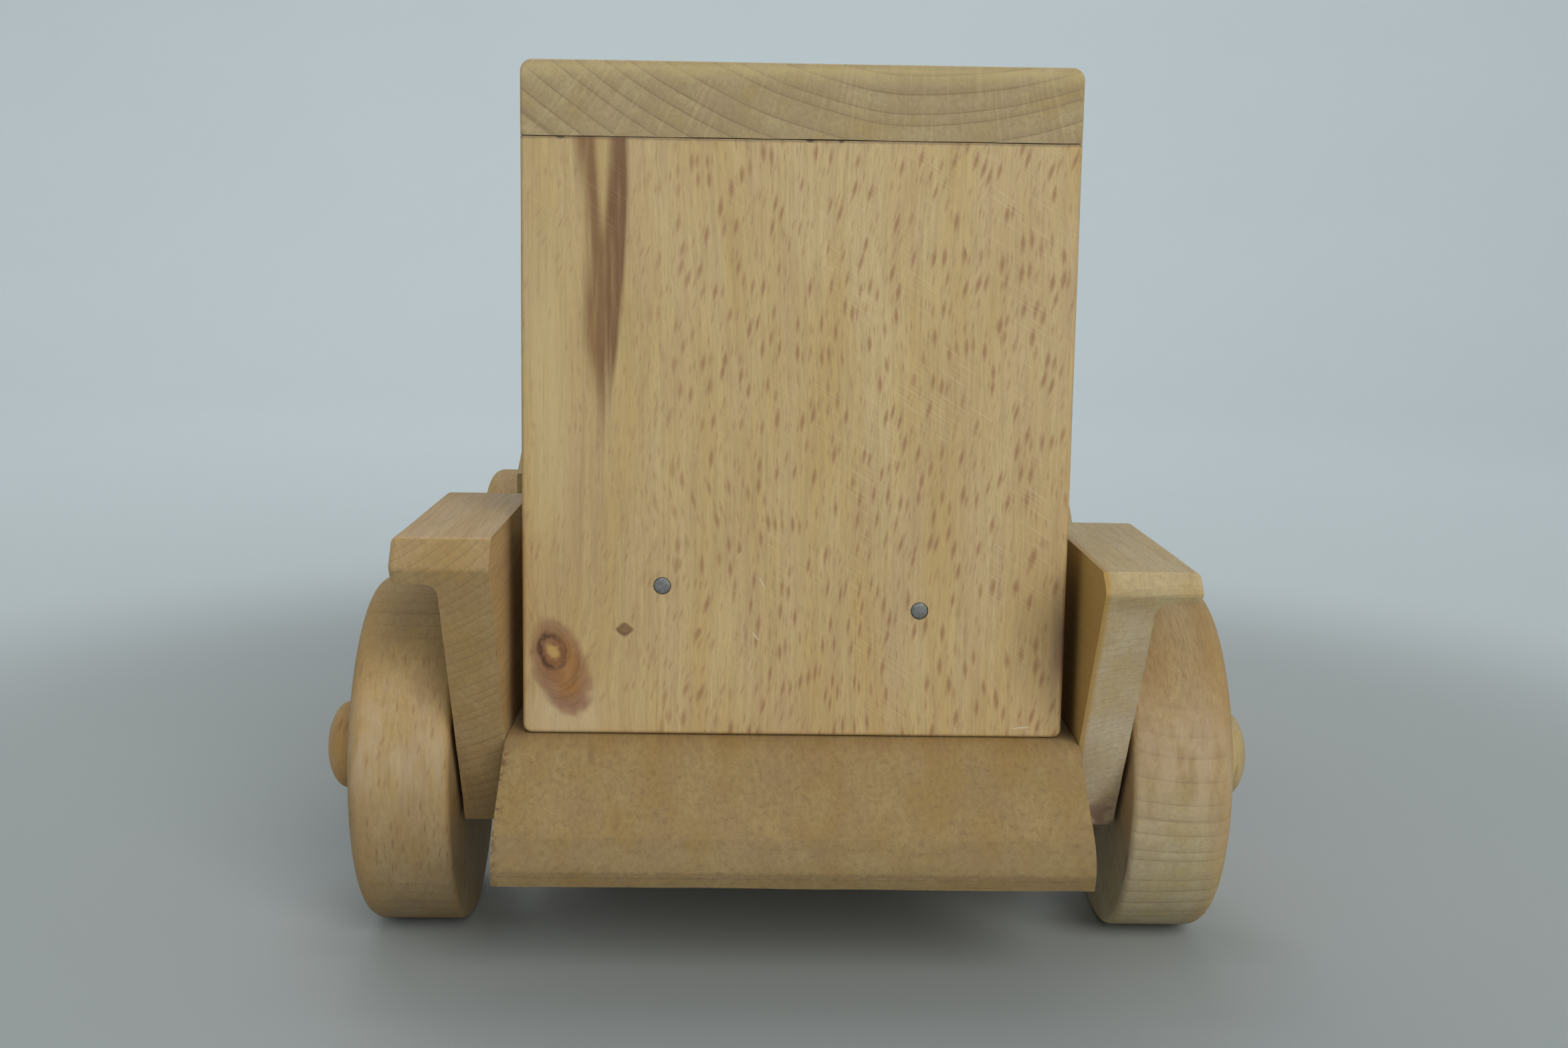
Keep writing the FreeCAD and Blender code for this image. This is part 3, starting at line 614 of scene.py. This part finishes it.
    def paint_scratches(self, surface, x, z):
        """A few short pale nicks in the sanded face."""
        g = surface.g
        for centre, half_across, half_up, lean in self.NICKS:
            at = self.oval(g, x, z, centre, half_across, half_up, lean)
            nick = g.ramp(at, 0.6, 1.2, 1.0, 0.0)
            surface.blend(g.times(nick, 0.6), NICK)
            surface.dent(g.times(nick, 0.06))

    def paint_joint(self, surface, x, z):
        """Dried glue along the roof joint, with three darker beads."""
        g = surface.g
        below = g.minus(self.height, z)
        waver = g.noise(g.combine(g.times(x, 0.9), 0.0, 0.0), detail=2.0)
        line = g.ramp(g.minus(below, g.times(waver, 0.4)), 0.05, 0.4, 1.0, 0.0)
        surface.blend(g.times(line, 0.5), GLUE)
        for across, half in self.BEADS:
            at = self.oval(g, x, z, (across, self.height), half, 0.45, 0.0)
            bead = g.ramp(at, 0.6, 1.1, 1.0, 0.0)
            surface.blend(g.times(bead, 0.85), GLUE_BEAD)


class RoofMarks(Marks):
    """The roof board carries painted light along its top edges: a paler band where its top catches the light
    from above.
    """

    def __init__(self, box):
        self.top = box.high.z / MM

    def paint(self, surface):
        g = surface.g
        x, _, z = g.split(surface.place)
        waver = g.noise(g.combine(g.times(x, 0.12), 0.0, g.times(z, 0.3)), detail=3.0)
        below = g.minus(self.top, z)
        # Painted light: a paler band under the top edge, as if lit from above.
        lightening = g.ramp(g.add(below, g.times(waver, 3.0)), 1.5, 5.5, 0.62, 0.0)
        lightening = g.times(lightening, g.ramp(below, 0.2, 1.2, 0.35, 1.0))
        surface.blend(lightening, TOP_LIGHT_PAINT)


class ChassisMarks(Marks):
    """Rough spots on the tail: fine specks, a check under the rear board, dirt along its lower edges."""

    CHECK_X = -33.0

    def __init__(self, box):
        self.box = box

    def paint(self, surface):
        g = surface.g
        x, y, z = g.split(surface.place)
        low, high = self.box.low / MM, self.box.high / MM
        spots = g.noise(g.vector("MULTIPLY", surface.place, (0.9, 0.9, 0.9)), detail=3.0, roughness=0.7)
        tail = g.ramp(y, low.y + 14.0, low.y + 22.0, 1.0, 0.0)
        check = g.ramp(g.math("ABSOLUTE", g.minus(x, self.CHECK_X)), 0.1, 0.9, 0.45, 0.0)
        check = g.times(check, g.ramp(z, high.z - 4.0, high.z - 1.0))
        from_foot = g.minus(g.add(z, g.times(spots, 1.6)), low.z + 3.2)
        brow = g.ramp(g.math("ABSOLUTE", from_foot), 0.1, 0.8, 0.46, 0.0)
        specks = g.ramp(spots, 0.50, 0.70, 0.0, 0.26)
        from_side = g.minus(x, low.x)
        side = g.times(g.ramp(from_side, 0.2, 1.8, 0.7, 0.0), g.ramp(spots, 0.48, 0.60))
        dirt = g.times(g.most(g.most(check, brow), g.most(side, specks)), tail)
        surface.blend(dirt, DIRT)


class RightFenderMarks(Marks):
    """The right rear fender has end grain lightened by painted floor light, an inner face in painted amber
    shade and a bruised foot.
    """

    def __init__(self, box):
        self.low = box.low / MM
        self.top = box.high.z / MM

    def paint(self, surface):
        g = surface.g
        x, _, z = g.split(surface.place)
        spots = g.noise(g.vector("MULTIPLY", surface.place, (0.25, 0.25, 0.25)), detail=3.0)
        # Painted light: the end grain below the top is lightened, as if lit from the floor.
        pale = g.times(g.ramp(z, self.top - 8.0, self.top - 4.5, 1.0, 0.0), surface.endness)
        surface.blend(pale, FLOOR_BOUNCE_PAINT, "MULTIPLY")
        # Painted shade: the inner face, in shade beside the board, is turned amber as light bounced off the
        # wood would tint it.
        inner = g.ramp(x, self.low.x + 0.4, self.low.x + 1.4, 0.80, 0.0)
        surface.blend(inner, AMBER_BOUNCE_SHADE)
        foot = g.times(g.ramp(z, self.low.z + 2.0, self.low.z + 9.0, 0.8, 0.0), g.ramp(spots, 0.40, 0.60))
        surface.blend(foot, BRUISE)


class WheelMarks(Marks):
    """A rear wheel is amber towards its outer rim and rubbed pale on the side that faces back."""

    def __init__(self, box, side):
        self.box = box
        self.side = side

    def paint(self, surface):
        g = surface.g
        x, y, z = g.split(surface.place)
        low, middle = self.box.low / MM, self.box.centre / MM
        half_width = self.box.size.x / 2 / MM
        cloud = g.noise(g.vector("MULTIPLY", surface.place, (0.14, 0.14, 0.10)), detail=3.0)
        inward = g.minus(half_width, g.times(g.minus(x, middle.x), self.side))
        amber = g.ramp(g.add(inward, g.times(cloud, 6.0)), 2.0, 9.0, 0.50, 0.0)
        surface.blend(amber, AMBER)
        above = g.math("ABSOLUTE", g.minus(z, middle.z + 5.0))
        rubbed = g.ramp(g.add(above, g.times(cloud, 30.0)), 12.0, 30.0, 0.50, 0.0)
        streaks = g.noise(g.vector("MULTIPLY", surface.place, (0.6, 0.6, 0.10)), detail=3.0)
        rubbed = g.times(rubbed, g.ramp(streaks, 0.30, 0.62))
        rubbed = g.times(rubbed, g.ramp(y, low.y + 4.0, low.y + 16.0, 1.0, 0.0))
        surface.blend(rubbed, RUBBED)


# ------------------------ finished meshes
SLICE = 2.2 * MM
WEAR_REACH = 2.0 * MM
CORNER_STEP = 0.7 * MM
SLOW_WAVE, QUICK_WAVE = 22 * MM, 5 * MM
SHARP = math.radians(28)


def slice_mesh(mesh, step):
    """Cut the mesh by evenly spaced planes, so that flat faces have points to be worked by hand."""
    for axis in range(3):
        values = [vertex.co[axis] for vertex in mesh.verts]
        low, high = min(values), max(values)
        count = int((high - low) / step)
        normal = Vector((0, 0, 0))
        normal[axis] = 1
        for index in range(1, count + 1):
            point = Vector((0, 0, 0))
            point[axis] = low + (high - low) * index / (count + 1)
            everything = mesh.verts[:] + mesh.edges[:] + mesh.faces[:]
            bmesh.ops.bisect_plane(mesh, geom=everything, dist=0.02 * MM, plane_co=point, plane_no=normal)


def edge_tree(mesh):
    """Points along the mesh's corners, to find how near each vertex lies to one."""
    points = []
    for edge in mesh.edges:
        if len(edge.link_faces) == 2 and edge.calc_face_angle() > SHARP:
            start, end = (vertex.co for vertex in edge.verts)
            steps = max(1, int((end - start).length / CORNER_STEP))
            points += [start.lerp(end, step / steps) for step in range(steps + 1)]
    tree = kdtree.KDTree(len(points))
    for index, point in enumerate(points):
        tree.insert(point, index)
    tree.balance()
    return tree


def finish_piece(piece, material, node, body):
    """A material, weighted normals, the body that the piece moves with, and its CAD node hidden."""
    piece.data.materials.append(material)
    modifier = piece.modifiers.new("even_shading", "WEIGHTED_NORMAL")
    modifier.keep_sharp = True
    modifier.weight = 60
    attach(piece, body)
    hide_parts(node)


def new_piece(name, mesh):
    """An object from a mesh, which is used up. Its edges are sharp where its faces meet at a corner."""
    data = bpy.data.meshes.new(name)
    for face in mesh.faces:
        face.smooth = True
    for edge in mesh.edges:
        edge.smooth = len(edge.link_faces) != 2 or edge.calc_face_angle() < SHARP
    mesh.to_mesh(data)
    mesh.free()
    return add_object(name, data)


def hand_worked(node, step=SLICE, hollows=0.12 * MM, nibbles=0.10 * MM):
    """A copy of a CAD node with the unevenness of hand sanding, all of it inside the CAD surface."""
    mesh = bmesh.new()
    mesh.from_mesh(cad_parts[node].data)
    bmesh.ops.remove_doubles(mesh, verts=mesh.verts, dist=0.001 * MM)
    bmesh.ops.dissolve_limit(mesh, angle_limit=math.radians(0.4), verts=mesh.verts, edges=mesh.edges)
    slice_mesh(mesh, step)
    mesh.normal_update()
    tree = edge_tree(mesh)
    wear = mesh.verts.layers.float.new("edge_wear")
    seed = Vector((len(node), node.count("r"), node.count("e"))) * 3.7
    moves = []
    for vertex in mesh.verts:
        found = tree.find(vertex.co)
        distance = found[2] if found[0] else WEAR_REACH
        worn = max(0.0, 1 - distance / WEAR_REACH)
        slow = noise.noise(vertex.co / SLOW_WAVE + seed)
        quick = noise.noise(vertex.co / QUICK_WAVE + seed)
        depth = hollows * (0.5 + 0.5 * slow) + nibbles * worn * (0.5 + 0.8 * quick)
        moves.append((vertex, -max(0.0, depth) * vertex.normal))
        vertex[wear] = worn
    for vertex, move in moves:
        vertex.co += move
    return new_piece(node + "_finished", mesh)


# ------------------------ pieces of board
def wood_from(box, along, pith_offset, **settings):
    """A Wood whose pith lies at an offset, in millimetres, from the middle of the piece."""
    return Wood(along, box.centre + Vector(pith_offset) * MM, **settings)


X_AXIS, Y_AXIS, Z_AXIS = (1, 0, 0), (0, 1, 0), (0, 0, 1)

BOARDS = {
    "chassis_board": ("body_beech", Y_AXIS, (24, 0, -70), dict(
        ring=3.1, rings=0.08, flecks=0.12, dashes=0.4, tint=(0.70, 0.67, 0.61))),
    "windscreen_board": ("body_beech", Z_AXIS, (12, 75, 0), dict(
        ring=3.0, rings=0.5, flecks=0.8, dashes=0.6)),
    "roof_board": ("roof_beech", Y_AXIS, (18.9, 0, 74), dict(
        ring=2.75, rings=1.0, flecks=0.7, dashes=0.6, tint=(0.93, 0.97, 1.07))),
    "seat_block": ("body_beech", X_AXIS, (0, 20, -50), dict(
        ring=3.2, rings=0.7, flecks=0.7, dashes=0.6)),
    "hood_block": ("body_beech", Y_AXIS, (-10, 0, -62), dict(
        ring=3.4, rings=0.7, flecks=0.8, dashes=0.6)),
    "radiator_board": ("body_beech", Z_AXIS, (8, -60, 0), dict(
        ring=2.6, rings=0.6, flecks=0.8, dashes=0.6)),
    "rear_fender_left": ("fender_beech", Y_AXIS, (-15, 0, 44), dict(
        ring=1.6, rings=0.55, flecks=0.25, dashes=0.5, tint=(0.92, 0.86, 0.80))),
    # Painted light: tints above one brighten this fender, most of all low down and bluish, as if lit from
    # the floor.
    "rear_fender_right": ("fender_beech", Y_AXIS, (10, 0, -60), dict(
        ring=1.3, rings=0.30, flecks=0.20, dashes=0.5, tint=(1.20, 1.34, 1.64),
        top_tint=(1.06, 1.12, 1.22))),
    # Partly painted shade: this fender is tinted amber as if its face were in shade, and partly its own
    # warmer wood.
    "front_fender_left": ("fender_beech", Y_AXIS, (20, 0, -44), dict(
        ring=1.9, rings=0.5, flecks=0.35, dashes=0.6, tint=(0.98, 0.89, 0.72))),
    "front_fender_right": ("fender_beech", Y_AXIS, (-20, 0, -52), dict(
        ring=1.8, rings=0.5, flecks=0.35, dashes=0.6)),
}
BOARD_MARKS = {
    "roof_board": RoofMarks, "chassis_board": ChassisMarks, "rear_fender_right": RightFenderMarks}


def make_boards():
    for node, (slot, along, pith_offset, settings) in BOARDS.items():
        box = Box(node)
        piece = hand_worked(node)
        wood = wood_from(box, along, pith_offset, **settings)
        marks = BOARD_MARKS[node](box) if node in BOARD_MARKS else Marks()
        finish_piece(piece, beech_material(node + "_beech", box, wood, marks), node, "car")


def make_rear_board():
    box = Box("rear_board")
    piece = hand_worked("rear_board", hollows=0.08 * MM)
    wood = wood_from(box, Z_AXIS, (14, 70, 0), ring=2.9, rings=0.4, flecks=0.9, dashes=0.7,
                     tint=(0.97, 0.97, 0.97))
    material = beech_material("rear_board_beech", box, wood, RearBoardMarks(box))
    finish_piece(piece, material, "rear_board", "car")


# ------------------------ turned pieces
def arc(centre, radius, start, end, steps):
    """Points (x, r) on an arc about centre, from one angle to another in degrees, both ends included."""
    points = []
    for step in range(steps + 1):
        angle = math.radians(start + (end - start) * step / steps)
        points.append((centre[0] + radius * math.cos(angle), centre[1] + radius * math.sin(angle)))
    return points


def straight(start, end, steps):
    """Points between two (x, r) points, neither end included."""
    return [(start[0] + (end[0] - start[0]) * step / steps, start[1] + (end[1] - start[1]) * step / steps)
            for step in range(1, steps)]


def dome(x, height, radius, steps):
    """Points (x, r) on a quarter ellipse that rises from a place x to its top, the top not included."""
    angles = [math.radians(90 * step / steps) for step in range(steps)]
    return [(x + height * math.sin(angle), radius * math.cos(angle)) for angle in angles]


def turn(mesh, profile, place, segments):
    """Add a profile of (x, r) points, in metres, turned about its own X axis and put where place says.

    A profile that does not start on the axis is closed on itself.
    """
    rings = []
    for x, r in profile:
        if r < 1e-7:
            rings.append([mesh.verts.new(place @ Vector((x, 0, 0)))])
            continue
        angles = [2 * math.pi * index / segments for index in range(segments)]
        points = [(x, r * math.cos(angle), r * math.sin(angle)) for angle in angles]
        rings.append([mesh.verts.new(place @ Vector(point)) for point in points])
    pairs = list(zip(rings, rings[1:]))
    if profile[0][1] > 0:
        pairs.append((rings[-1], rings[0]))
    for first, second in pairs:
        for index in range(segments):
            after = (index + 1) % segments
            corners = [first[index % len(first)], second[index % len(second)],
                       second[after % len(second)], first[after % len(first)]]
            mesh.faces.new(list(dict.fromkeys(corners)))
    bmesh.ops.recalc_face_normals(mesh, faces=mesh.faces)


def turned_piece(name, profile, place, segments=96):
    mesh = bmesh.new()
    turn(mesh, profile, place, segments)
    return new_piece(name, mesh)


def placed(centre, axis):
    """The matrix that puts a turned piece's own X axis along an axis through centre."""
    turn = Vector((1, 0, 0)).rotation_difference(Vector(axis))
    return Matrix.Translation(centre) @ turn.to_matrix().to_4x4()


WHEEL_WOOD = {
    # Painted shade: the left wheel is tinted darker low down than at its top.
    "wheel_rear_left": ((0, 0.12, 1), (0, 62, 0), dict(
        ring=2.2, rings=0.5, flecks=0.15, dashes=1.0, end_shade=0.3,
        tint=(0.64, 0.62, 0.64), top_tint=(0.84, 0.78, 0.68))),
    # Painted light and shade: the right wheel is tinted darker and amber at its top, as in the shade of its
    # fender, and paler and bluer low down, as if lit.
    "wheel_rear_right": ((0, -0.86, -0.5), (0, -36, 62), dict(
        ring=3.0, rings=0.70, flecks=0.10, dashes=1.0, end_shade=0.35,
        tint=(0.95, 1.08, 1.32), top_tint=(0.74, 0.70, 0.68))),
    # Partly painted shade: this wheel is tinted amber-brown as if in shade, and partly its own warmer wood.
    "wheel_front_left": ((0, 0.8, 0.6), (0, -40, 52), dict(
        ring=2.4, rings=0.6, flecks=0.4, dashes=0.8, end_shade=0.6, tint=(0.95, 0.83, 0.56))),
    "wheel_front_right": ((0, -0.5, 0.87), (0, 50, 30), dict(
        ring=2.4, rings=0.6, flecks=0.4, dashes=0.8, end_shade=0.6)),
}
BORE = 4.05 * MM
OUTER_RIM, INNER_RIM, BORE_RIM = 3.0 * MM, 1.2 * MM, 0.4 * MM


def make_wheel(node, side):
    """A disc with a free bore, its outer rim rounded more than its inner one."""
    box = Box(node)
    width, radius = box.size.x, box.size.z / 2
    inner, outer = -width / 2, width / 2
    profile = [(inner + BORE_RIM, BORE), (inner, BORE + BORE_RIM)]
    profile += straight((inner, BORE + BORE_RIM), (inner, radius - INNER_RIM), 9)
    profile += arc((inner + INNER_RIM, radius - INNER_RIM), INNER_RIM, 180, 90, 4)
    profile += straight((inner + INNER_RIM, radius), (outer - OUTER_RIM, radius), 8)
    profile += arc((outer - OUTER_RIM, radius - OUTER_RIM), OUTER_RIM, 90, 0, 8)
    profile += straight((outer, radius - OUTER_RIM), (outer, BORE + BORE_RIM), 9)
    profile += [(outer, BORE + BORE_RIM), (outer - BORE_RIM, BORE)]
    piece = turned_piece(node + "_finished", profile, placed(box.centre, (side, 0, 0)), segments=128)
    along, pith_offset, settings = WHEEL_WOOD[node]
    wood = wood_from(box, along, pith_offset, **settings)
    marks = WheelMarks(box, side) if node.startswith("wheel_rear") else Marks()
    finish_piece(piece, beech_material(node + "_beech", box, wood, marks), node, node)


CAP_BORE, CAP_BORE_DEPTH, CAP_DOME = 4.0 * MM, 4.7 * MM, 3.7 * MM
CAP_FOOT_EDGE = 0.5 * MM
CAP_TINTS = {LEFT: (0.98, 0.84, 0.66), RIGHT: (0.95, 1.02, 1.08)}


def make_hub_cap(node, side):
    """A domed button with a blind bore for the end of the axle."""
    box = Box(node)
    height, radius = box.size.x, box.size.z / 2
    skirt = height - CAP_DOME
    profile = [(CAP_BORE_DEPTH, 0), (CAP_BORE_DEPTH, CAP_BORE), (0, CAP_BORE)]
    profile += straight((0, CAP_BORE), (0, radius - CAP_FOOT_EDGE), 3)
    profile += arc((CAP_FOOT_EDGE, radius - CAP_FOOT_EDGE), CAP_FOOT_EDGE, 180, 90, 3)
    profile += straight((CAP_FOOT_EDGE, radius), (skirt, radius), 4)
    profile += dome(skirt, CAP_DOME, radius, 15) + [(height, 0)]
    foot = Vector((box.low.x if side == RIGHT else box.high.x, box.centre.y, box.centre.z))
    piece = turned_piece(node + "_finished", profile, placed(foot, (side, 0, 0)))
    wood = wood_from(box, (0, 0.3, 1), (0, 30, 8), ring=2.2, rings=0.4, flecks=0.6, end_shade=0.5,
                     tint=CAP_TINTS[side])
    finish_piece(piece, beech_material(node + "_beech", box, wood), node, "car")


PEG_LENGTH, PEG_RADIUS, PEG_EDGE = 7.0 * MM, 3.0 * MM, 0.4 * MM
LAMP_RIM, LAMP_BACK_EDGE, LAMP_FRONT_EDGE = 4.0 * MM, 0.5 * MM, 0.8 * MM
LAMP_FACE_INSET, LAMP_FACE_SUNK = 1.6 * MM, 0.3 * MM


def make_headlamp(node):
    """A turned button with a domed face; its peg goes into the radiator board."""
    box = Box(node)
    radius, top = box.size.z / 2, box.size.y - PEG_LENGTH
    face = LAMP_RIM - LAMP_FACE_SUNK
    profile = [(-PEG_LENGTH, 0), (-PEG_LENGTH, PEG_RADIUS - PEG_EDGE), (PEG_EDGE - PEG_LENGTH, PEG_RADIUS)]
    profile.append((0, PEG_RADIUS))
    profile += straight((0, PEG_RADIUS), (0, radius - LAMP_BACK_EDGE), 4)
    profile += arc((LAMP_BACK_EDGE, radius - LAMP_BACK_EDGE), LAMP_BACK_EDGE, 180, 90, 3)
    profile += straight((LAMP_BACK_EDGE, radius), (LAMP_RIM - LAMP_FRONT_EDGE, radius), 3)
    profile += arc((LAMP_RIM - LAMP_FRONT_EDGE, radius - LAMP_FRONT_EDGE), LAMP_FRONT_EDGE, 90, 20, 4)
    profile += dome(face, top - face, radius - LAMP_FACE_INSET, 12) + [(top, 0)]
    root = Vector((box.centre.x, box.low.y + PEG_LENGTH, box.centre.z))
    piece = turned_piece(node + "_finished", profile, placed(root, Y_AXIS))
    wood = wood_from(box, (0.2, 0, 1), (0, 30, 8), ring=2.0, rings=0.5, flecks=0.6, end_shade=0.5)
    finish_piece(piece, beech_material(node + "_beech", box, wood), node, "car")


def dress_axle(node):
    """The axles keep their CAD shape; they get wood with the grain along the dowel."""
    box = Box(node)
    wood = wood_from(box, X_AXIS, (0, 25, 12), ring=1.6, rings=0.6, flecks=0.6)
    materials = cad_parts[node].data.materials
    materials.clear()
    materials.append(beech_material(node + "_beech", box, wood))


# ------------------------ nails
DULL_STEEL = color(0.16, 0.165, 0.16)
BRIGHT_STEEL = color(0.28, 0.285, 0.28)
RUST = color(0.12, 0.06, 0.03)


def steel_material():
    """Dull wire-nail steel with a few rust freckles."""
    material, g = new_material("nail_steel")
    place = g.millimetres()
    cloud = g.noise(place, scale=1.4, detail=4.0)
    scuff = g.noise(g.vector("MULTIPLY", place, (9.0, 9.0, 1.5)), detail=2.0)
    steel = g.mix(g.ramp(scuff, 0.35, 0.7), DULL_STEEL, BRIGHT_STEEL)
    steel = g.mix(g.ramp(cloud, 0.62, 0.75, 0.0, 0.6), steel, RUST)
    height = g.swing(scuff, 0.02)
    bump = g.node("ShaderNodeBump", {"Height": height, "Distance": MM})
    rough = g.ramp(cloud, 0.3, 0.7, 0.42, 0.62)
    g.shade({"Base Color": steel, "Metallic": 0.75, "Roughness": rough, "Normal": bump.outputs[0]})
    return material


# A nail's half section: (depth, share of the head's radius), the depth in millimetres from its node's face.
HEAD_SHAPE = [(0.12, 0), (0.14, 0.5), (0.17, 0.8), (0.24, 0.95), (0.37, 1), (1.0, 1)]
SHANK_RADIUS, POINT_LENGTH = 0.9 * MM, 3.0 * MM


def make_nails(node, forward):
    """The nails of one board as one piece: domed heads set just under the wood, shanks and points."""
    box = Box(node)
    points = [vertex.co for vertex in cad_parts[node].data.vertices]
    length = box.size.y
    head_face = box.low.y if forward else box.high.y
    direction = 1 if forward else -1
    nails = bmesh.new()
    for side in (LEFT, RIGHT):
        places = [point.x for point in points if point.x * side > 0]
        heights = [point.z for point in points if point.x * side > 0]
        middle = Vector(((min(places) + max(places)) / 2, head_face, (min(heights) + max(heights)) / 2))
        radius = (max(heights) - min(heights)) / 2
        profile = [(depth * MM, share * radius) for depth, share in HEAD_SHAPE]
        profile += [(depth, SHANK_RADIUS) for depth in (profile[-1][0], length * 0.4, length - POINT_LENGTH)]
        profile.append((length, 0))
        turn(nails, profile, placed(middle, (0, direction, 0)), segments=40)
    finish_piece(new_piece(node + "_finished", nails), steel, node, "car")


# ------------------------ stage, light and camera
# The far colour is partly painted light: it is paler to make up for the little light that reaches the curved
# backdrop.
FLOOR_NEAR, FLOOR_FAR = color(0.43, 0.46, 0.46), color(0.60, 0.655, 0.67)
MOTTLING = color(0.2, 0.2, 0.2)


def stage_material(name, near, far):
    """A plain pale stage with a faint mottling, darker near the car and paler far from it; the paler far
    colour is partly painted light for the weak, grazing light on the curved backdrop.
    """
    material, g = new_material(name)
    place = g.coordinate("Object")
    cloud = g.noise(place, scale=6.0, detail=3.0)
    base = g.mix(g.ramp(g.vector("LENGTH", place), 0.18, 0.34), near, far)
    base = g.mix(g.times(cloud, 0.05), base, MOTTLING)
    g.shade({"Base Color": base, "Roughness": 0.75, "Specular IOR Level": 0.2})
    return material


def make_floor():
    """A pale round floor that curves up into a backdrop all the way round."""
    flat, sweep, rise = 1.1, 0.9, 1.6
    profile = [(0, 0)] + [(0, flat * step / 6) for step in range(1, 7)]
    profile += [(sweep - sweep * math.cos(math.radians(a)), flat + sweep * math.sin(math.radians(a)))
                for a in range(9, 91, 9)]
    profile.append((sweep + rise, flat + sweep))
    floor = turned_piece("floor", profile, placed((0, 0, 0), Z_AXIS))
    floor.data.flip_normals()
    floor.data.materials.append(stage_material("pale_floor", FLOOR_NEAR, FLOOR_FAR))


def add_area_light(name, place, target, size, power, tint):
    data = bpy.data.lights.new(name, "AREA")
    data.shape = "DISK"
    data.size = size
    data.energy = power
    data.color = tint
    light = add_object(name, data)
    light.location = place
    aim = Vector(target) - Vector(place)
    light.rotation_euler = aim.to_track_quat("-Z", "Y").to_euler()


def make_lights():
    target = (0, -0.05, 0.06)
    add_area_light("key", (0.62, -1.60, 0.93), target, 1.05, 17.5, (1.0, 0.97, 0.92))
    add_area_light("fill", (-0.75, -1.0, 0.5), target, 0.9, 1.2, (0.94, 0.98, 1.0))
    add_area_light("front", (-0.50, 0.95, 1.35), target, 0.9, 3.5, (1.0, 0.98, 0.95))
    add_area_light("top", (0.15, 0.10, 1.45), target, 1.1, 1.2, (0.95, 0.98, 1.0))
    add_area_light("backdrop", (0.0, 0.7, 1.5), (0.0, 2.0, 0.35), 0.8, 9, (0.95, 0.98, 1.0))
    world = bpy.data.worlds.new("studio")
    world.use_nodes = True
    background = world.node_tree.nodes["Background"]
    background.inputs["Color"].default_value = color(0.86, 0.92, 1.0)
    background.inputs["Strength"].default_value = 0.28
    bpy.context.scene.world = world
    bpy.context.scene.view_settings.view_transform = "Standard"


def make_camera():
    """A camera close behind the car, a little to the left of its middle and looking slightly down."""
    place = Vector((-0.00797, -0.41333, 0.12043))
    turn, pitch_down, roll = -0.0197, 0.1454, 0.0155
    data = bpy.data.cameras.new("camera")
    data.lens = 43.06
    data.sensor_width = 36.0
    data.sensor_fit = "HORIZONTAL"
    data.clip_start = 0.01
    camera = add_object("camera", data)
    camera.matrix_world = (
        Matrix.Translation(place) @ Matrix.Rotation(turn, 4, "Z")
        @ Matrix.Rotation(math.pi / 2 - pitch_down, 4, "X") @ Matrix.Rotation(roll, 4, "Z"))
    bpy.context.scene.camera = camera


# ------------------------ the scene
make_camera()
make_floor()
make_lights()
steel = steel_material()
make_rear_board()
make_boards()
for place in ("rear", "front"):
    dress_axle(place + "_axle")
    for word, side in SIDES.items():
        make_wheel("wheel_%s_%s" % (place, word), side)
        make_hub_cap("hub_cap_%s_%s" % (place, word), side)
for word in SIDES:
    make_headlamp("headlamp_" + word)
make_nails("rear_board_nails", True)
make_nails("radiator_nails", False)
